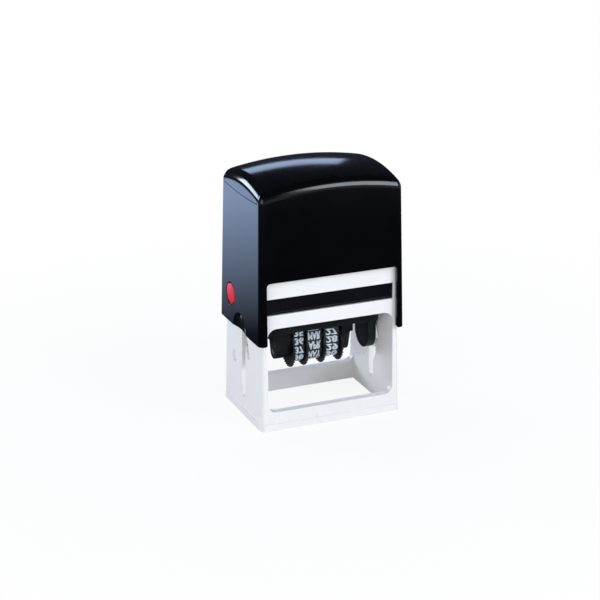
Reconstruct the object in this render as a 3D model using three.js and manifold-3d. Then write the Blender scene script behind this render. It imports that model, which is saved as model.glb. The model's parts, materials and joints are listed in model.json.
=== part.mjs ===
// A self-inking date stamp, in millimetres, standing on its foot with +Z up and its front towards -Y.
// The handle slides down over the base and carries the platen, whose studs run in curved tracks in the
// base's side walls, so that the platen turns over on its way from the ink pad to the paper.

import * as THREE from 'three';
import { mergeVertices } from 'three/addons/utils/BufferGeometryUtils.js';
import Module from 'manifold-3d';

const wasm = await Module();
wasm.setup();

// Clearances
const seatGap = 0.2; // between pieces that are clipped together
const runGap = 0.3; // between pieces that turn or slide on each other
const slideGap = 0.3; // between the base and the handle when the handle is right down
const pressGap = 0.5; // left above the base when the handle is right down
const overrun = 4; // how far a cut runs past the face it starts from

// Handle
const handleWidth = 80.8;
const handleDepth = 57.2;
const overallHeight = 134;
const sideDraft = 2.8; // how much narrower the handle is at its top
const frontDraft = 3.8; // how much less deep it is there
const roofRise = 10.3; // from the hollow's ceiling to the middle of the crowned top
const archDrop = 4.2; // from the middle of the top to its left and right ends
const crownDrop = 3.8; // and to its front and back
const handleWall = 1.5;
const handleCorner = 3;
const topRound = 5;
const pillarWidth = 4.4;
const windowLip = 0.8; // from the window's top up to the base's top edge
const windowCorner = 2;
const pillarRound = 1.2;
const dishHalfWidth = 8;
const dishMargin = 3.1; // from the pin's centre up to the dish's top
const dishFlare = 1.1;
const dishDepth = 0.9;
const roofStudRadius = 6.2;
const roofStudLength = 4;

// Cover on the top of the handle
const coverMargin = 4.1; // left bare in front of the cover and behind it
const coverThickness = 0.7;
const coverDrop = 13.4; // how far the cover's ends come down the end walls
const coverSag = 0.8; // how far their lower edges hang in the middle

// Base
const baseWall = 2.2;
const baseCorner = 1.5;
const wellDepth = 8.2; // the rim above the deck, round the spring
const footSide = 0.4; // how far the foot stands out at the sides
const footFront = 0.5; // and in front and behind
const footHeight = 3.8;
const footCorner = 3;
const footClear = 1.7; // left over the foot when the handle is right down
const openingBottom = 10;
const headerHeight = 7.2; // the panel between the opening and the cartridge's slot
const openingTopCorner = 5;
const openingBottomCorner = 4.5;
const ledgeWidth = 2.6;
const ledgeHeight = 1.8;
const deckRise = 0.2;
const deckThickness = 1.8;

// Ink pad cartridge
const trayHeight = 8.1;
const trayLip = 4.2; // how far its walls hang below the pad
const trayRoof = 1.2;
const trayFrontSetback = 0.3;
const trayBorder = 0.9; // the edge round the sunk panel of its front
const trayPanel = 0.3;
const padGap = 1.1;
const traySideRoom = 1.1;
const trayEndRoom = 1.4;

// Lock buttons
const buttonRadius = 5.5;
const buttonThickness = 1.1;
const buttonProud = 0.55;
const buttonStemRadius = 3;
const buttonRise = 9.2; // above the pivot
const buttonOffset = 12.9;
const buttonTravel = 1.3;
const lockShort = 6.6; // what is left of the stroke where the buttons lock the handle
const buttonRim = 0.5;

// Platen and its guides
const pinRadius = 2.25;
const pinInset = 0.1;
const hubRadius = 4.3;
const studRadius = 1.6;
const studOrbit = 6.5;
const trackDepth = 1.2;
const dieReach = 11.9;
const printGap = 0.3;
const dieSideRoom = 3.9; // between the text plate's ends and the base's walls
const dieEndRoom = 4.8; // between its long edges and the base's front and back
const platenOver = 0.8; // how far the platen stands out past the ends of the text plate
const platenUnder = 1.5; // how far it stays back from the plate's long edges
const platenSkirt = 6;
const platenWall = 1.8;
const platenTop = 2.5;
const earGap = 1.4;
const earThickness = 4.4;
const earRadius = 8.6;
const earReach = 26.1;
const carrierThickness = 1.6;
const rubberSheet = 0.9;
const borderWidth = 1.2;
const borderInset = 1.6;

// Date bands and their wheels
const axleDrop = 21.5;
const axleRadius = 1.5;
const axleProud = 0.2;
const thumbRadius = 9.5;
const flangeThickness = 1.2;
const gripDepth = 0.45;
const bandRadius = 6.4;
const bandThickness = 1;
const bandSideGap = 0.2;
const yearBandWidth = 5.8;
const monthBandWidth = 8;
const dayBandWidth = 8.2;
const bandsLeft = -13.8;
const typeHeight = 0.5;
const bridgeHalfDepth = 2.2;
const bridgeEnd = 2;
const bandCorner = 1.5;
const leftArmShare = 0.67; // of the room between the wheels and the platen's ears
const rightArmShare = 0.45;
const armStepShare = 0.25; // of an arm's width, cut away on its outer side below the step
const armStepDrop = 14.2;
const armEndRadius = 4;
const armHalfDepth = 6;
const yokeHalfDepth = 7.6;
const yokeThickness = 5.6;
const bandRoom = 0.7;
const armTeethPitch = 2.2;
const armTeethDepth = 0.8;

// Return spring
const springRadius = 8;
const wireRadius = 0.6;

// Counts
const cornerSteps = 5;
const longSideSteps = 12;
const shortSideSteps = 6;
const roundSteps = 6;
const circleSteps = 32;
const pinSteps = 20;
const trackSteps = 30;
const gripNotches = 24;
const springTurns = 7;
const stepsPerTurn = 12;
const wireSides = 6;
const armTeeth = 4;
const crownShares = [0.72, 0.42, 0.16];

// The handle goes down over the base by the whole stroke, and the pad lies as far above the pivot as the
// paper lies below it, so the stroke is half of the height that the pieces above the pad leave
const ceilingHeight = overallHeight - roofRise;
const baseStack = trayHeight - trayLip + runGap + deckRise + deckThickness + wellDepth;
const stroke = (ceilingHeight - pressGap - baseStack - 2 * dieReach - padGap - printGap) / 2;

// Heights that follow from it
const pivotHeight = stroke + dieReach + printGap;
const padFace = pivotHeight + dieReach + padGap;
const trayBottom = padFace - trayLip;
const trayTop = trayBottom + trayHeight;
const trayRoofBottom = trayTop - trayRoof;
const slotBottom = trayBottom - runGap;
const slotTop = trayTop + runGap;
const deckBottom = slotTop + deckRise;
const deckTop = deckBottom + deckThickness;
const baseHeight = deckTop + wellDepth;
const openingTop = slotBottom - headerHeight;
const handleBottom = stroke + footHeight + footClear;
const windowTop = baseHeight - windowLip;
const shoulder = overallHeight - archDrop - topRound;
const buttonHeight = pivotHeight + buttonRise;
const lockDrop = stroke - lockShort;

// Widths and depths, from the handle inwards
const handleTopWidth = handleWidth - sideDraft;
const handleTopDepth = handleDepth - frontDraft;
const baseHalfX = handleTopWidth / 2 - handleWall - slideGap;
const baseHalfY = handleTopDepth / 2 - handleWall - slideGap;
const innerHalfX = baseHalfX - baseWall;
const innerHalfY = baseHalfY - baseWall;
const dieWidth = 2 * (innerHalfX - dieSideRoom);
const dieDepth = 2 * (innerHalfY - dieEndRoom);
const platenWidth = dieWidth + 2 * platenOver;
const platenDepth = dieDepth - 2 * platenUnder;
const earOuter = innerHalfX - earGap;
const earInner = earOuter - earThickness;

// Heights of the platen's details, from the pivot
const tongueTop = -platenSkirt + platenWall;
const bandTop = dieReach - typeHeight;
const bandWidths = [yearBandWidth, monthBandWidth, dayBandWidth];
const bandNames = ['year', 'month', 'day'];

const black = { color: 0x0b0b0f, roughness: 0.22, metalness: 0 };
const white = { color: 0xeef0f2, roughness: 0.3, metalness: 0 };
const red = { color: 0xd02a3c, roughness: 0.3, metalness: 0 };
const darkRubber = { color: 0x1c2a2c, roughness: 0.6, metalness: 0 };
const felt = { color: 0x2b2140, roughness: 0.95, metalness: 0 };
const steel = { color: 0xb4b8bd, roughness: 0.3, metalness: 1 };

// A closed geometry as a solid, turned outside out if its faces point in
function solidOf(geometry) {
  geometry.deleteAttribute('normal');
  geometry.deleteAttribute('uv');
  const merged = mergeVertices(geometry, 1e-5);
  const places = merged.getAttribute('position').array;
  const corners = merged.getIndex().array;
  const faces = [];
  let volume = 0;
  for (let i = 0; i < corners.length; i += 3) {
    const [a, b, c] = [corners[i], corners[i + 1], corners[i + 2]];
    if (a === b || b === c || c === a) continue;
    faces.push([a, b, c]);
    const [p, q, r] = [a, b, c].map((k) => new THREE.Vector3().fromArray(places, 3 * k));
    volume += p.dot(q.cross(r));
  }
  const order = volume < 0 ? ([a, b, c]) => [a, c, b] : (face) => face;
  return new wasm.Manifold(
    new wasm.Mesh({
      numProp: 3,
      vertProperties: new Float32Array(places),
      triVerts: new Uint32Array(faces.flatMap(order)),
    }),
  );
}

// A named mesh from a solid
function piece(name, solid, look) {
  const cut = solid.getMesh();
  const geometry = new THREE.BufferGeometry();
  geometry.setAttribute('position', new THREE.BufferAttribute(cut.vertProperties, 3));
  geometry.setIndex(new THREE.BufferAttribute(cut.triVerts, 1));
  const mesh = new THREE.Mesh(geometry, new THREE.MeshStandardMaterial(look));
  mesh.name = name;
  return mesh;
}

// An outline drawn in the plane square to an axis (x: y and z, y: x and z, z: x and y), run from one
// place on that axis to another
function prism(outline, axis, start, end) {
  const shape = outline instanceof THREE.Shape ? outline : new THREE.Shape(outline);
  const [from, to] = [Math.min(start, end), Math.max(start, end)];
  const geometry = new THREE.ExtrudeGeometry(shape, {
    depth: to - from,
    bevelEnabled: false,
    curveSegments: roundSteps,
  });
  const [x, y, z] = [0, 1, 2].map((k) => new THREE.Vector3().setComponent(k, 1));
  const turn = new THREE.Matrix4();
  if (axis === 'x') turn.makeBasis(y, z, x).setPosition(from, 0, 0);
  if (axis === 'y') turn.makeBasis(x, z, y.clone().negate()).setPosition(0, to, 0);
  if (axis === 'z') turn.setPosition(0, 0, from);
  return solidOf(geometry.applyMatrix4(turn));
}

function circle(u, v, radius, steps = circleSteps) {
  const points = [];
  for (let i = 0; i < steps; i++) {
    const angle = (2 * Math.PI * i) / steps;
    points.push(new THREE.Vector2(u + radius * Math.cos(angle), v + radius * Math.sin(angle)));
  }
  return points;
}

function rectangle(left, bottom, right, top) {
  return [
    [left, bottom],
    [right, bottom],
    [right, top],
    [left, top],
  ].map(([u, v]) => new THREE.Vector2(u, v));
}

// Points on an arc, both ends included
function arc(u, v, radius, start, end, steps = roundSteps) {
  const points = [];
  for (let i = 0; i <= steps; i++) {
    const angle = start + ((end - start) * i) / steps;
    points.push(new THREE.Vector2(u + radius * Math.cos(angle), v + radius * Math.sin(angle)));
  }
  return points;
}

// A rectangle with round corners, its long and short sides divided so that they can follow a curve
function roundedRectangle(halfX, halfY, radius) {
  const quarter = Math.PI / 2;
  const centres = [
    [halfX - radius, halfY - radius],
    [radius - halfX, halfY - radius],
    [radius - halfX, radius - halfY],
    [halfX - radius, radius - halfY],
  ];
  const points = [];
  centres.forEach(([u, v], corner) => {
    points.push(...arc(u, v, radius, corner * quarter, (corner + 1) * quarter, cornerSteps));
    const next = centres[(corner + 1) % centres.length];
    const start = points.at(-1);
    const side = new THREE.Vector2(next[0] - u, next[1] - v);
    const steps = corner % 2 ? shortSideSteps : longSideSteps;
    for (let i = 1; i < steps; i++) points.push(start.clone().addScaledVector(side, i / steps));
  });
  return points;
}

// A body through rings of points, closed by a fan at each end
function loft(rings, startPoint, endPoint) {
  const count = rings[0].length;
  const points = [startPoint, ...rings.flat(), endPoint];
  const last = points.length - 1;
  const index = [];
  for (let i = 0; i < count; i++) {
    const j = (i + 1) % count;
    index.push(0, 1 + j, 1 + i);
    for (let ring = 0; ring + 1 < rings.length; ring++) {
      const low = 1 + ring * count;
      const high = low + count;
      index.push(low + i, low + j, high + j, low + i, high + j, high + i);
    }
    const top = last - count;
    index.push(last, top + i, top + j);
  }
  const geometry = new THREE.BufferGeometry();
  const places = points.flatMap((p) => [p.x, p.y, p.z]);
  geometry.setAttribute('position', new THREE.Float32BufferAttribute(places, 3));
  geometry.setIndex(index);
  return solidOf(geometry);
}

function level(outline, z) {
  return outline.map((p) => new THREE.Vector3(p.x, p.y, z));
}

function difference(first, ...others) {
  return others.reduce((whole, solid) => whole.subtract(solid), first);
}

// The handle's half width and half depth at a height, from its slight draft
function handleHalf(z) {
  const share = (z - handleBottom) / (shoulder - handleBottom);
  return [
    THREE.MathUtils.lerp(handleWidth, handleTopWidth, share) / 2,
    THREE.MathUtils.lerp(handleDepth, handleTopDepth, share) / 2,
  ];
}

// The base's half width and half depth at a height: it fits the handle evenly when that is right down
function baseHalf(z) {
  return handleHalf(z + stroke).map((half) => half - handleWall - slideGap);
}

// The height of the crowned top at a place on the plan
function crown(x, y) {
  const across = x / (handleTopWidth / 2);
  const along = y / (handleTopDepth / 2);
  return overallHeight - archDrop * across ** 2 - crownDrop * along ** 2;
}

// The handle's outer form, or the same form drawn in by an inset
function handleForm(inset) {
  const [lowX, lowY] = handleHalf(handleBottom);
  const [topX, topY] = handleHalf(shoulder);
  const radius = topRound - inset;
  const low = roundedRectangle(lowX - inset, lowY - inset, handleCorner - inset);
  const rings = [level(low, handleBottom)];
  const onCrown = (drop) => (p) => new THREE.Vector3(p.x, p.y, crown(p.x, p.y) - inset - drop);
  let rim = null;
  for (let i = 0; i <= roundSteps; i++) {
    const angle = ((Math.PI / 2) * i) / roundSteps;
    const inward = inset + radius * (1 - Math.cos(angle));
    const corner = Math.max(handleCorner - inward, handleCorner / cornerSteps);
    rim = roundedRectangle(topX - inward, topY - inward, corner);
    rings.push(rim.map(onCrown(radius * (1 - Math.sin(angle)))));
  }
  for (const share of crownShares) {
    rings.push(rim.map((p) => p.clone().multiplyScalar(share)).map(onCrown(0)));
  }
  const floor = new THREE.Vector3(0, 0, handleBottom);
  return loft(rings, floor, new THREE.Vector3(0, 0, overallHeight - inset));
}

// The hollow that the base slides into
function handleHollow() {
  const rings = [handleBottom - overrun, ceilingHeight].map((z) => {
    const [halfX, halfY] = handleHalf(z);
    const outline = roundedRectangle(halfX - handleWall, halfY - handleWall, handleCorner - handleWall);
    return level(outline, z);
  });
  const [bottom, top] = [handleBottom - overrun, ceilingHeight];
  return loft(rings, new THREE.Vector3(0, 0, bottom), new THREE.Vector3(0, 0, top));
}

// The opening in the handle's front and back, between rounded pillar ends
function handleWindow() {
  const half = handleWidth / 2 - pillarWidth;
  const right = [
    new THREE.Vector2(half + pillarRound, handleBottom - overrun),
    ...arc(half + pillarRound, handleBottom + pillarRound, pillarRound, -Math.PI / 2, -Math.PI),
    ...arc(half - windowCorner, windowTop - windowCorner, windowCorner, 0, Math.PI / 2),
  ];
  const left = right.map((p) => new THREE.Vector2(-p.x, p.y)).reverse();
  return prism([...right, ...left], 'y', -handleDepth, handleDepth);
}

// The dished recess round the pivot pin's end, open at the handle's lower edge
function dish(side) {
  const surface = handleWidth / 2;
  const ring = (grow, x) => {
    const half = dishHalfWidth + grow;
    const centre = pivotHeight + dishMargin + grow - half;
    const outline = [
      new THREE.Vector2(-half, handleBottom - overrun),
      new THREE.Vector2(half, handleBottom - overrun),
      ...arc(0, centre, half, 0, Math.PI, circleSteps / 2),
    ];
    return outline.map((p) => new THREE.Vector3(side * x, p.x, p.y));
  };
  const inner = surface - dishDepth;
  const outer = surface + seatGap;
  const middle = (x) => new THREE.Vector3(side * x, 0, handleBottom);
  return loft([ring(0, inner), ring(dishFlare, outer)], middle(inner), middle(outer));
}

// The part of the top that the cover takes up, with hanging edges at its ends
function coverZone(margin) {
  const half = handleTopDepth / 2 - coverMargin + margin;
  const low = overallHeight - coverDrop - margin;
  const high = overallHeight + overrun;
  const outline = [new THREE.Vector2(half, high), new THREE.Vector2(-half, high)];
  for (let i = -cornerSteps; i <= cornerSteps; i++) {
    const share = i / cornerSteps;
    outline.push(new THREE.Vector2(half * share, low + coverSag * share ** 2));
  }
  return prism(outline, 'x', -handleWidth, handleWidth);
}

function handleShell() {
  const outer = handleForm(0);
  const coverSeat = coverZone(seatGap).subtract(handleForm(coverThickness + seatGap));
  let shell = difference(outer, handleHollow(), handleWindow(), coverSeat);
  const stud = circle(0, 0, roofStudRadius);
  shell = shell.add(prism(stud, 'z', ceilingHeight - roofStudLength, ceilingHeight + pressGap));
  for (const side of [-1, 1]) {
    const bore = circle(0, pivotHeight, pinRadius + seatGap, pinSteps);
    const hole = circle(buttonOffset, buttonHeight, buttonRadius + runGap);
    shell = shell.subtract(dish(side));
    shell = shell.subtract(prism(bore, 'x', side * baseHalfX, side * handleWidth));
    shell = shell.subtract(prism(hole, 'x', side * baseHalfX, side * handleWidth));
    shell = shell.subtract(buttonCountersink(side));
  }
  return shell;
}

// The bevelled edge of the hole that the lock button sits in
function buttonCountersink(side) {
  const [wallX] = handleHalf(buttonHeight);
  const ring = (radius, x) =>
    circle(buttonOffset, buttonHeight, radius).map((p) => new THREE.Vector3(side * x, p.x, p.y));
  const base = buttonRadius + runGap;
  const [inner, outer] = [wallX - buttonRim, wallX + buttonRim];
  const middle = (x) => new THREE.Vector3(side * x, buttonOffset, buttonHeight);
  const rings = [ring(base, inner), ring(base + 2 * buttonRim, outer)];
  return loft(rings, middle(inner), middle(outer));
}

function topCover() {
  return handleForm(0).intersect(coverZone(0)).subtract(handleForm(coverThickness));
}

// Where a lock button's stem ends, just clear of the base all the way down
function buttonStemEnd() {
  const [widest] = baseHalf(buttonHeight - stroke);
  return widest + seatGap;
}

// A round push button with a stem that enters the base's wall
function lockButton(side) {
  const [wallX] = handleHalf(buttonHeight);
  const face = wallX + buttonProud;
  const back = face - buttonThickness;
  const stemEnd = buttonStemEnd();
  const cap = circle(buttonOffset, buttonHeight, buttonRadius);
  const stem = circle(buttonOffset, buttonHeight, buttonStemRadius, pinSteps);
  return prism(cap, 'x', side * back, side * face).add(prism(stem, 'x', side * stemEnd, side * back));
}

// Where the platen's stud is when the platen has turned by an angle
function trackPoint(angle) {
  const drop = (stroke * angle) / Math.PI;
  return new THREE.Vector2(
    -studOrbit * Math.sin(angle),
    pivotHeight - drop - studOrbit * Math.cos(angle),
  );
}

// The curved track that turns the platen over, as an outline of constant width with round ends
function trackOutline() {
  const half = studRadius + runGap;
  const inner = [];
  const outer = [];
  const step = Math.PI / trackSteps;
  const heading = (angle) => {
    const ahead = trackPoint(angle + step / 2).sub(trackPoint(angle - step / 2));
    return Math.atan2(ahead.y, ahead.x);
  };
  for (let i = 0; i <= trackSteps; i++) {
    const angle = i * step;
    const place = trackPoint(angle);
    const along = heading(angle);
    const across = new THREE.Vector2(-Math.sin(along), Math.cos(along));
    inner.push(place.clone().addScaledVector(across, half));
    outer.push(place.clone().addScaledVector(across, -half));
  }
  const cap = (angle, start) => {
    const place = trackPoint(angle);
    return arc(place.x, place.y, half, start, start + Math.PI).slice(1, -1);
  };
  const endCap = cap(Math.PI, heading(Math.PI) - Math.PI / 2);
  const startCap = cap(0, heading(0) + Math.PI / 2);
  return [...outer, ...endCap, ...inner.reverse(), ...startCap];
}

// The straight slot that the pivot pin slides in
function pivotSlot() {
  const half = pinRadius + runGap;
  const top = arc(0, pivotHeight + runGap, half, 0, Math.PI);
  const bottom = arc(0, pivotHeight - stroke - runGap, half, Math.PI, 2 * Math.PI);
  return [...top, ...bottom];
}

// The track's upper half is open to the outside, down to where it lies furthest forward
function trackWindow(side) {
  const lowest = trackPoint(Math.PI / 2).y;
  const reach = [side * innerHalfX, side * handleWidth];
  const upper = rectangle(-handleDepth, lowest, handleDepth, pivotHeight);
  return prism(trackOutline(), 'x', ...reach).intersect(prism(upper, 'x', ...reach));
}

// The large opening through the base's front and back
function baseOpening() {
  const right = [
    ...arc(innerHalfX - openingBottomCorner, openingBottom + openingBottomCorner,
      openingBottomCorner, -Math.PI / 2, 0),
    ...arc(innerHalfX - openingTopCorner, openingTop - openingTopCorner,
      openingTopCorner, 0, Math.PI / 2),
  ];
  const left = right.map((p) => new THREE.Vector2(-p.x, p.y)).reverse();
  return [...right, ...left];
}

function baseFrame() {
  const ring = (z) => level(roundedRectangle(...baseHalf(z), baseCorner), z);
  const walls = loft([ring(0), ring(baseHeight)], new THREE.Vector3(), new THREE.Vector3(0, 0, baseHeight));
  const [lowX, lowY] = baseHalf(0);
  const foot = roundedRectangle(lowX + footSide, lowY + footFront, footCorner);
  const inner = rectangle(-innerHalfX, -innerHalfY, innerHalfX, innerHalfY);
  let frame = walls.add(prism(foot, 'z', 0, footHeight));
  frame = frame.subtract(prism(inner, 'z', -overrun, deckBottom));
  frame = frame.subtract(prism(inner, 'z', deckTop, baseHeight + overrun));
  frame = frame.subtract(prism(baseOpening(), 'y', -handleDepth, handleDepth));
  const slot = rectangle(-innerHalfX, slotBottom, innerHalfX, slotTop);
  frame = frame.subtract(prism(slot, 'y', -handleDepth, 0));
  const stud = circle(0, 0, roofStudRadius);
  frame = frame.add(prism(stud, 'z', deckBottom + deckThickness / 2, deckTop + roofStudLength));
  for (const side of [-1, 1]) {
    const ledge = rectangle(innerHalfX - ledgeWidth, slotBottom - ledgeHeight,
      innerHalfX + baseWall / 2, slotBottom).map((p) => new THREE.Vector2(side * p.x, p.y));
    frame = frame.add(prism(ledge, 'y', -baseHalfY + baseWall / 2, baseHalfY - baseWall / 2));
    const track = [side * (innerHalfX - overrun), side * (innerHalfX + trackDepth)];
    const slotEnds = [side * (innerHalfX - overrun), side * handleWidth];
    frame = difference(
      frame,
      prism(trackOutline(), 'x', ...track),
      trackWindow(side),
      prism(pivotSlot(), 'x', ...slotEnds),
    );
    for (const drop of [0, lockDrop]) {
      const hole = circle(buttonOffset, buttonHeight - drop, buttonStemRadius + runGap, pinSteps);
      const floor = buttonStemEnd() - buttonTravel - runGap;
      frame = frame.subtract(prism(hole, 'x', side * floor, side * handleWidth));
    }
  }
  return frame;
}

// A shallow tray that is open below, where the pad faces the die. Its rear wall ends level with the pad, so
// that the tray can be pushed out over the die.
function padCartridge() {
  const half = innerHalfX - runGap;
  const [front, back] = [trayFrontSetback - baseHalf(slotTop)[1], innerHalfY - runGap];
  const body = prism(rectangle(-half, front, half, back), 'z', trayBottom, trayTop);
  const roomX = dieWidth / 2 + traySideRoom;
  const roomY = dieDepth / 2 + trayEndRoom;
  const room = rectangle(-roomX, -roomY, roomX, roomY);
  const wayOut = rectangle(-roomX, -roomY, roomX, back + overrun);
  const panel = rectangle(trayBorder - half, trayBottom + trayBorder, half - trayBorder, trayTop + overrun);
  return difference(
    body,
    prism(panel, 'y', front - overrun, front + trayPanel),
    prism(room, 'z', trayBottom - overrun, trayRoofBottom),
    prism(wayOut, 'z', trayBottom - overrun, padFace),
  );
}

function inkPad() {
  const halfX = dieWidth / 2 + traySideRoom - seatGap;
  const halfY = dieDepth / 2 + trayEndRoom - seatGap;
  return prism(rectangle(-halfX, -halfY, halfX, halfY), 'z', padFace, trayRoofBottom - seatGap);
}

// From here to the date wheels, heights count from the pivot

// The open-bottomed block that turns over, with its hubs, ears and track studs
function platenFrame() {
  const [halfX, halfY] = [platenWidth / 2, platenDepth / 2];
  const top = platenPlateTop();
  const outer = roundedRectangle(halfX, halfY, platenWall);
  const inner = rectangle(platenWall - halfX, platenWall - halfY, halfX - platenWall, halfY - platenWall);
  let frame = prism(outer, 'z', -platenSkirt, top);
  frame = frame.subtract(prism(inner, 'z', -platenSkirt - overrun, top - platenTop));
  frame = frame.subtract(prism(dateWindow(0), 'z', -platenSkirt, top + overrun));
  for (const side of [-1, 1]) {
    const ear = [
      ...arc(0, earRadius - earReach, earRadius, Math.PI, 2 * Math.PI, circleSteps / 2),
      new THREE.Vector2(earRadius, tongueTop),
      new THREE.Vector2(-earRadius, tongueTop),
    ];
    const hub = circle(0, 0, hubRadius);
    const stud = circle(0, -studOrbit, studRadius, pinSteps);
    const bore = circle(0, 0, pinRadius + seatGap, pinSteps);
    const hubEnd = innerHalfX - runGap;
    const cheek = halfX - platenWall / 2;
    frame = frame.add(prism(ear, 'x', side * earInner, side * earOuter));
    frame = frame.add(prism(hub, 'x', side * cheek, side * hubEnd));
    const studEnd = innerHalfX + trackDepth - runGap;
    frame = frame.add(prism(stud, 'x', side * cheek, side * studEnd));
    frame = frame.subtract(prism(bore, 'x', side * (halfX - overrun), side * handleWidth));
  }
  return frame;
}

// The top of the platen's plate, under the carrier and the rubber
function platenPlateTop() {
  return dieReach - typeHeight - rubberSheet - carrierThickness - 2 * seatGap;
}

// The pin between the handle's wall and the platen's hub
function pivotPin(side) {
  const end = handleWidth / 2 - dishDepth - pinInset;
  const start = platenWidth / 2 - platenWall;
  return prism(circle(0, 0, pinRadius, pinSteps), 'x', side * start, side * end);
}

// The window that the bands and their bridge reach through, or its outline grown by a margin
function dateWindow(margin) {
  const [left, right] = bridgeEnds();
  const half = bandHalfDepth() + bandRoom + margin;
  return rectangle(left - runGap - margin, -half, right + runGap + margin, half);
}

function textCarrier() {
  const outline = rectangle(-dieWidth / 2, -dieDepth / 2, dieWidth / 2, dieDepth / 2);
  const top = dieReach - rubberSheet - typeHeight - seatGap;
  const plate = prism(outline, 'z', top - carrierThickness, top);
  return plate.subtract(prism(dateWindow(0), 'z', top - carrierThickness - overrun, top + overrun));
}

// The rubber die: a sheet with a raised border round its edge and round the date
function textRubber() {
  const [x, y] = [dieWidth / 2 - seatGap, dieDepth / 2 - seatGap];
  const bottom = dieReach - rubberSheet - typeHeight;
  const face = dieReach - typeHeight;
  let rubber = prism(rectangle(-x, -y, x, y), 'z', bottom, face);
  const edge = (inset) => rectangle(inset - x, inset - y, x - inset, y - inset);
  const raised = (outer, inner) =>
    prism(outer, 'z', bottom, dieReach).subtract(prism(inner, 'z', bottom - overrun, dieReach + overrun));
  rubber = rubber.add(raised(edge(borderInset), edge(borderInset + borderWidth)));
  rubber = rubber.add(raised(dateWindow(borderInset + borderWidth), dateWindow(borderInset)));
  return rubber.subtract(prism(dateWindow(0), 'z', bottom - overrun, dieReach + overrun));
}

// The left faces of the three thumb wheels and of the end disc, from the bands' widths
function wheelPlaces() {
  const places = [bandsLeft];
  for (const width of bandWidths) {
    places.push(places.at(-1) + flangeThickness + 2 * bandSideGap + width + seatGap);
  }
  return places;
}

// The inner and outer faces of the bracket's left and right arms, and the outer faces below their steps
function armFaces() {
  const places = wheelPlaces();
  const innerLeft = places[0] - runGap;
  const innerRight = places.at(-1) + flangeThickness + runGap;
  const leftArmOuter = innerLeft - leftArmShare * (earInner + innerLeft);
  const rightArmOuter = innerRight + rightArmShare * (earInner - innerRight);
  const leftStep = THREE.MathUtils.lerp(leftArmOuter, innerLeft, armStepShare);
  const rightStep = THREE.MathUtils.lerp(rightArmOuter, innerRight, armStepShare);
  return { innerLeft, innerRight, leftArmOuter, rightArmOuter, leftStep, rightStep };
}

// The bracket that hangs under the platen and holds the band wheels' axle
function bandFrame() {
  const { innerLeft, innerRight, leftArmOuter, rightArmOuter, leftStep, rightStep } = armFaces();
  const top = platenPlateTop() - platenTop - seatGap;
  const low = top - yokeThickness;
  const yoke = rectangle(leftArmOuter, -yokeHalfDepth, rightArmOuter, yokeHalfDepth);
  const room = bandHalfDepthAt(low) + bandRoom;
  const gap = rectangle(innerLeft, -room, innerRight, room);
  let frame = prism(yoke, 'z', low, top).subtract(prism(gap, 'z', low - overrun, top + overrun));
  const arm = [
    ...arc(0, -axleDrop, armEndRadius, Math.PI, 2 * Math.PI),
    new THREE.Vector2(armHalfDepth, -armStepDrop),
    new THREE.Vector2(armHalfDepth, low + yokeThickness / 2),
    new THREE.Vector2(-armHalfDepth, low + yokeThickness / 2),
    new THREE.Vector2(-armHalfDepth, -armStepDrop),
  ];
  frame = frame.add(prism(arm, 'x', leftArmOuter, innerLeft));
  frame = frame.add(prism(arm, 'x', innerRight, rightArmOuter));
  const below = rectangle(-yokeHalfDepth, -axleDrop - thumbRadius, yokeHalfDepth, -armStepDrop);
  frame = difference(
    frame,
    prism(below, 'x', leftArmOuter - overrun, leftStep),
    prism(below, 'x', rightStep, rightArmOuter + overrun),
  );
  for (let i = 0; i < armTeeth; i++) {
    const height = -armStepDrop + armTeethPitch * (i + 1);
    const notch = rectangle(-armHalfDepth - overrun, height, armTeethDepth - armHalfDepth,
      height + armTeethPitch / 2);
    frame = frame.subtract(prism(notch, 'x', leftArmOuter - overrun, innerLeft - runGap));
  }
  const bore = circle(0, -axleDrop, axleRadius + seatGap, pinSteps);
  return frame.subtract(prism(bore, 'x', leftArmOuter - overrun, rightArmOuter + overrun));
}

// The left and right ends of the block that backs the bands where they print
function bridgeEnds() {
  const places = wheelPlaces();
  return [places[0] - bridgeEnd, places.at(-1) + flangeThickness + bridgeEnd];
}

// The block inside the bands that backs them where they print
function printBridge() {
  const bottom = platenPlateTop() - platenTop;
  const top = bandTop - bandThickness - runGap;
  const outline = rectangle(-bridgeHalfDepth, bottom, bridgeHalfDepth, top);
  return prism(outline, 'x', ...bridgeEnds());
}

function bandAxle() {
  const { leftStep, rightStep } = armFaces();
  const outline = circle(0, -axleDrop, axleRadius, pinSteps);
  return prism(outline, 'x', leftStep - axleProud, rightStep + axleProud);
}

// A band's outer or inner outline: round its wheel below and over the bridge above
function bandOutline(inset) {
  const wheelRadius = bandRadius - inset;
  const cornerRadius = bandCorner - inset;
  const cornerY = bandHalfDepth() - bandCorner;
  const cornerZ = bandTop - bandCorner;
  const rise = Math.hypot(cornerY, cornerZ + axleDrop);
  const lean = Math.atan2(cornerZ + axleDrop, cornerY);
  const side = lean - Math.acos((wheelRadius - cornerRadius) / rise);
  return [
    ...arc(0, -axleDrop, wheelRadius, Math.PI - side, 2 * Math.PI + side, circleSteps / 2),
    ...arc(cornerY, cornerZ, cornerRadius, side, Math.PI / 2, cornerSteps),
    ...arc(-cornerY, cornerZ, cornerRadius, Math.PI / 2, Math.PI - side, cornerSteps),
  ];
}

// Half the depth of a band's loop where it goes over the bridge
function bandHalfDepth() {
  return bridgeHalfDepth + runGap + bandThickness;
}

// About half the depth of a band's loop at a height between its bridge and its wheel
function bandHalfDepthAt(height) {
  const share = (height + axleDrop) / (bandTop - bandCorner + axleDrop);
  return THREE.MathUtils.lerp(bandRadius, bandHalfDepth(), share);
}

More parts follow.
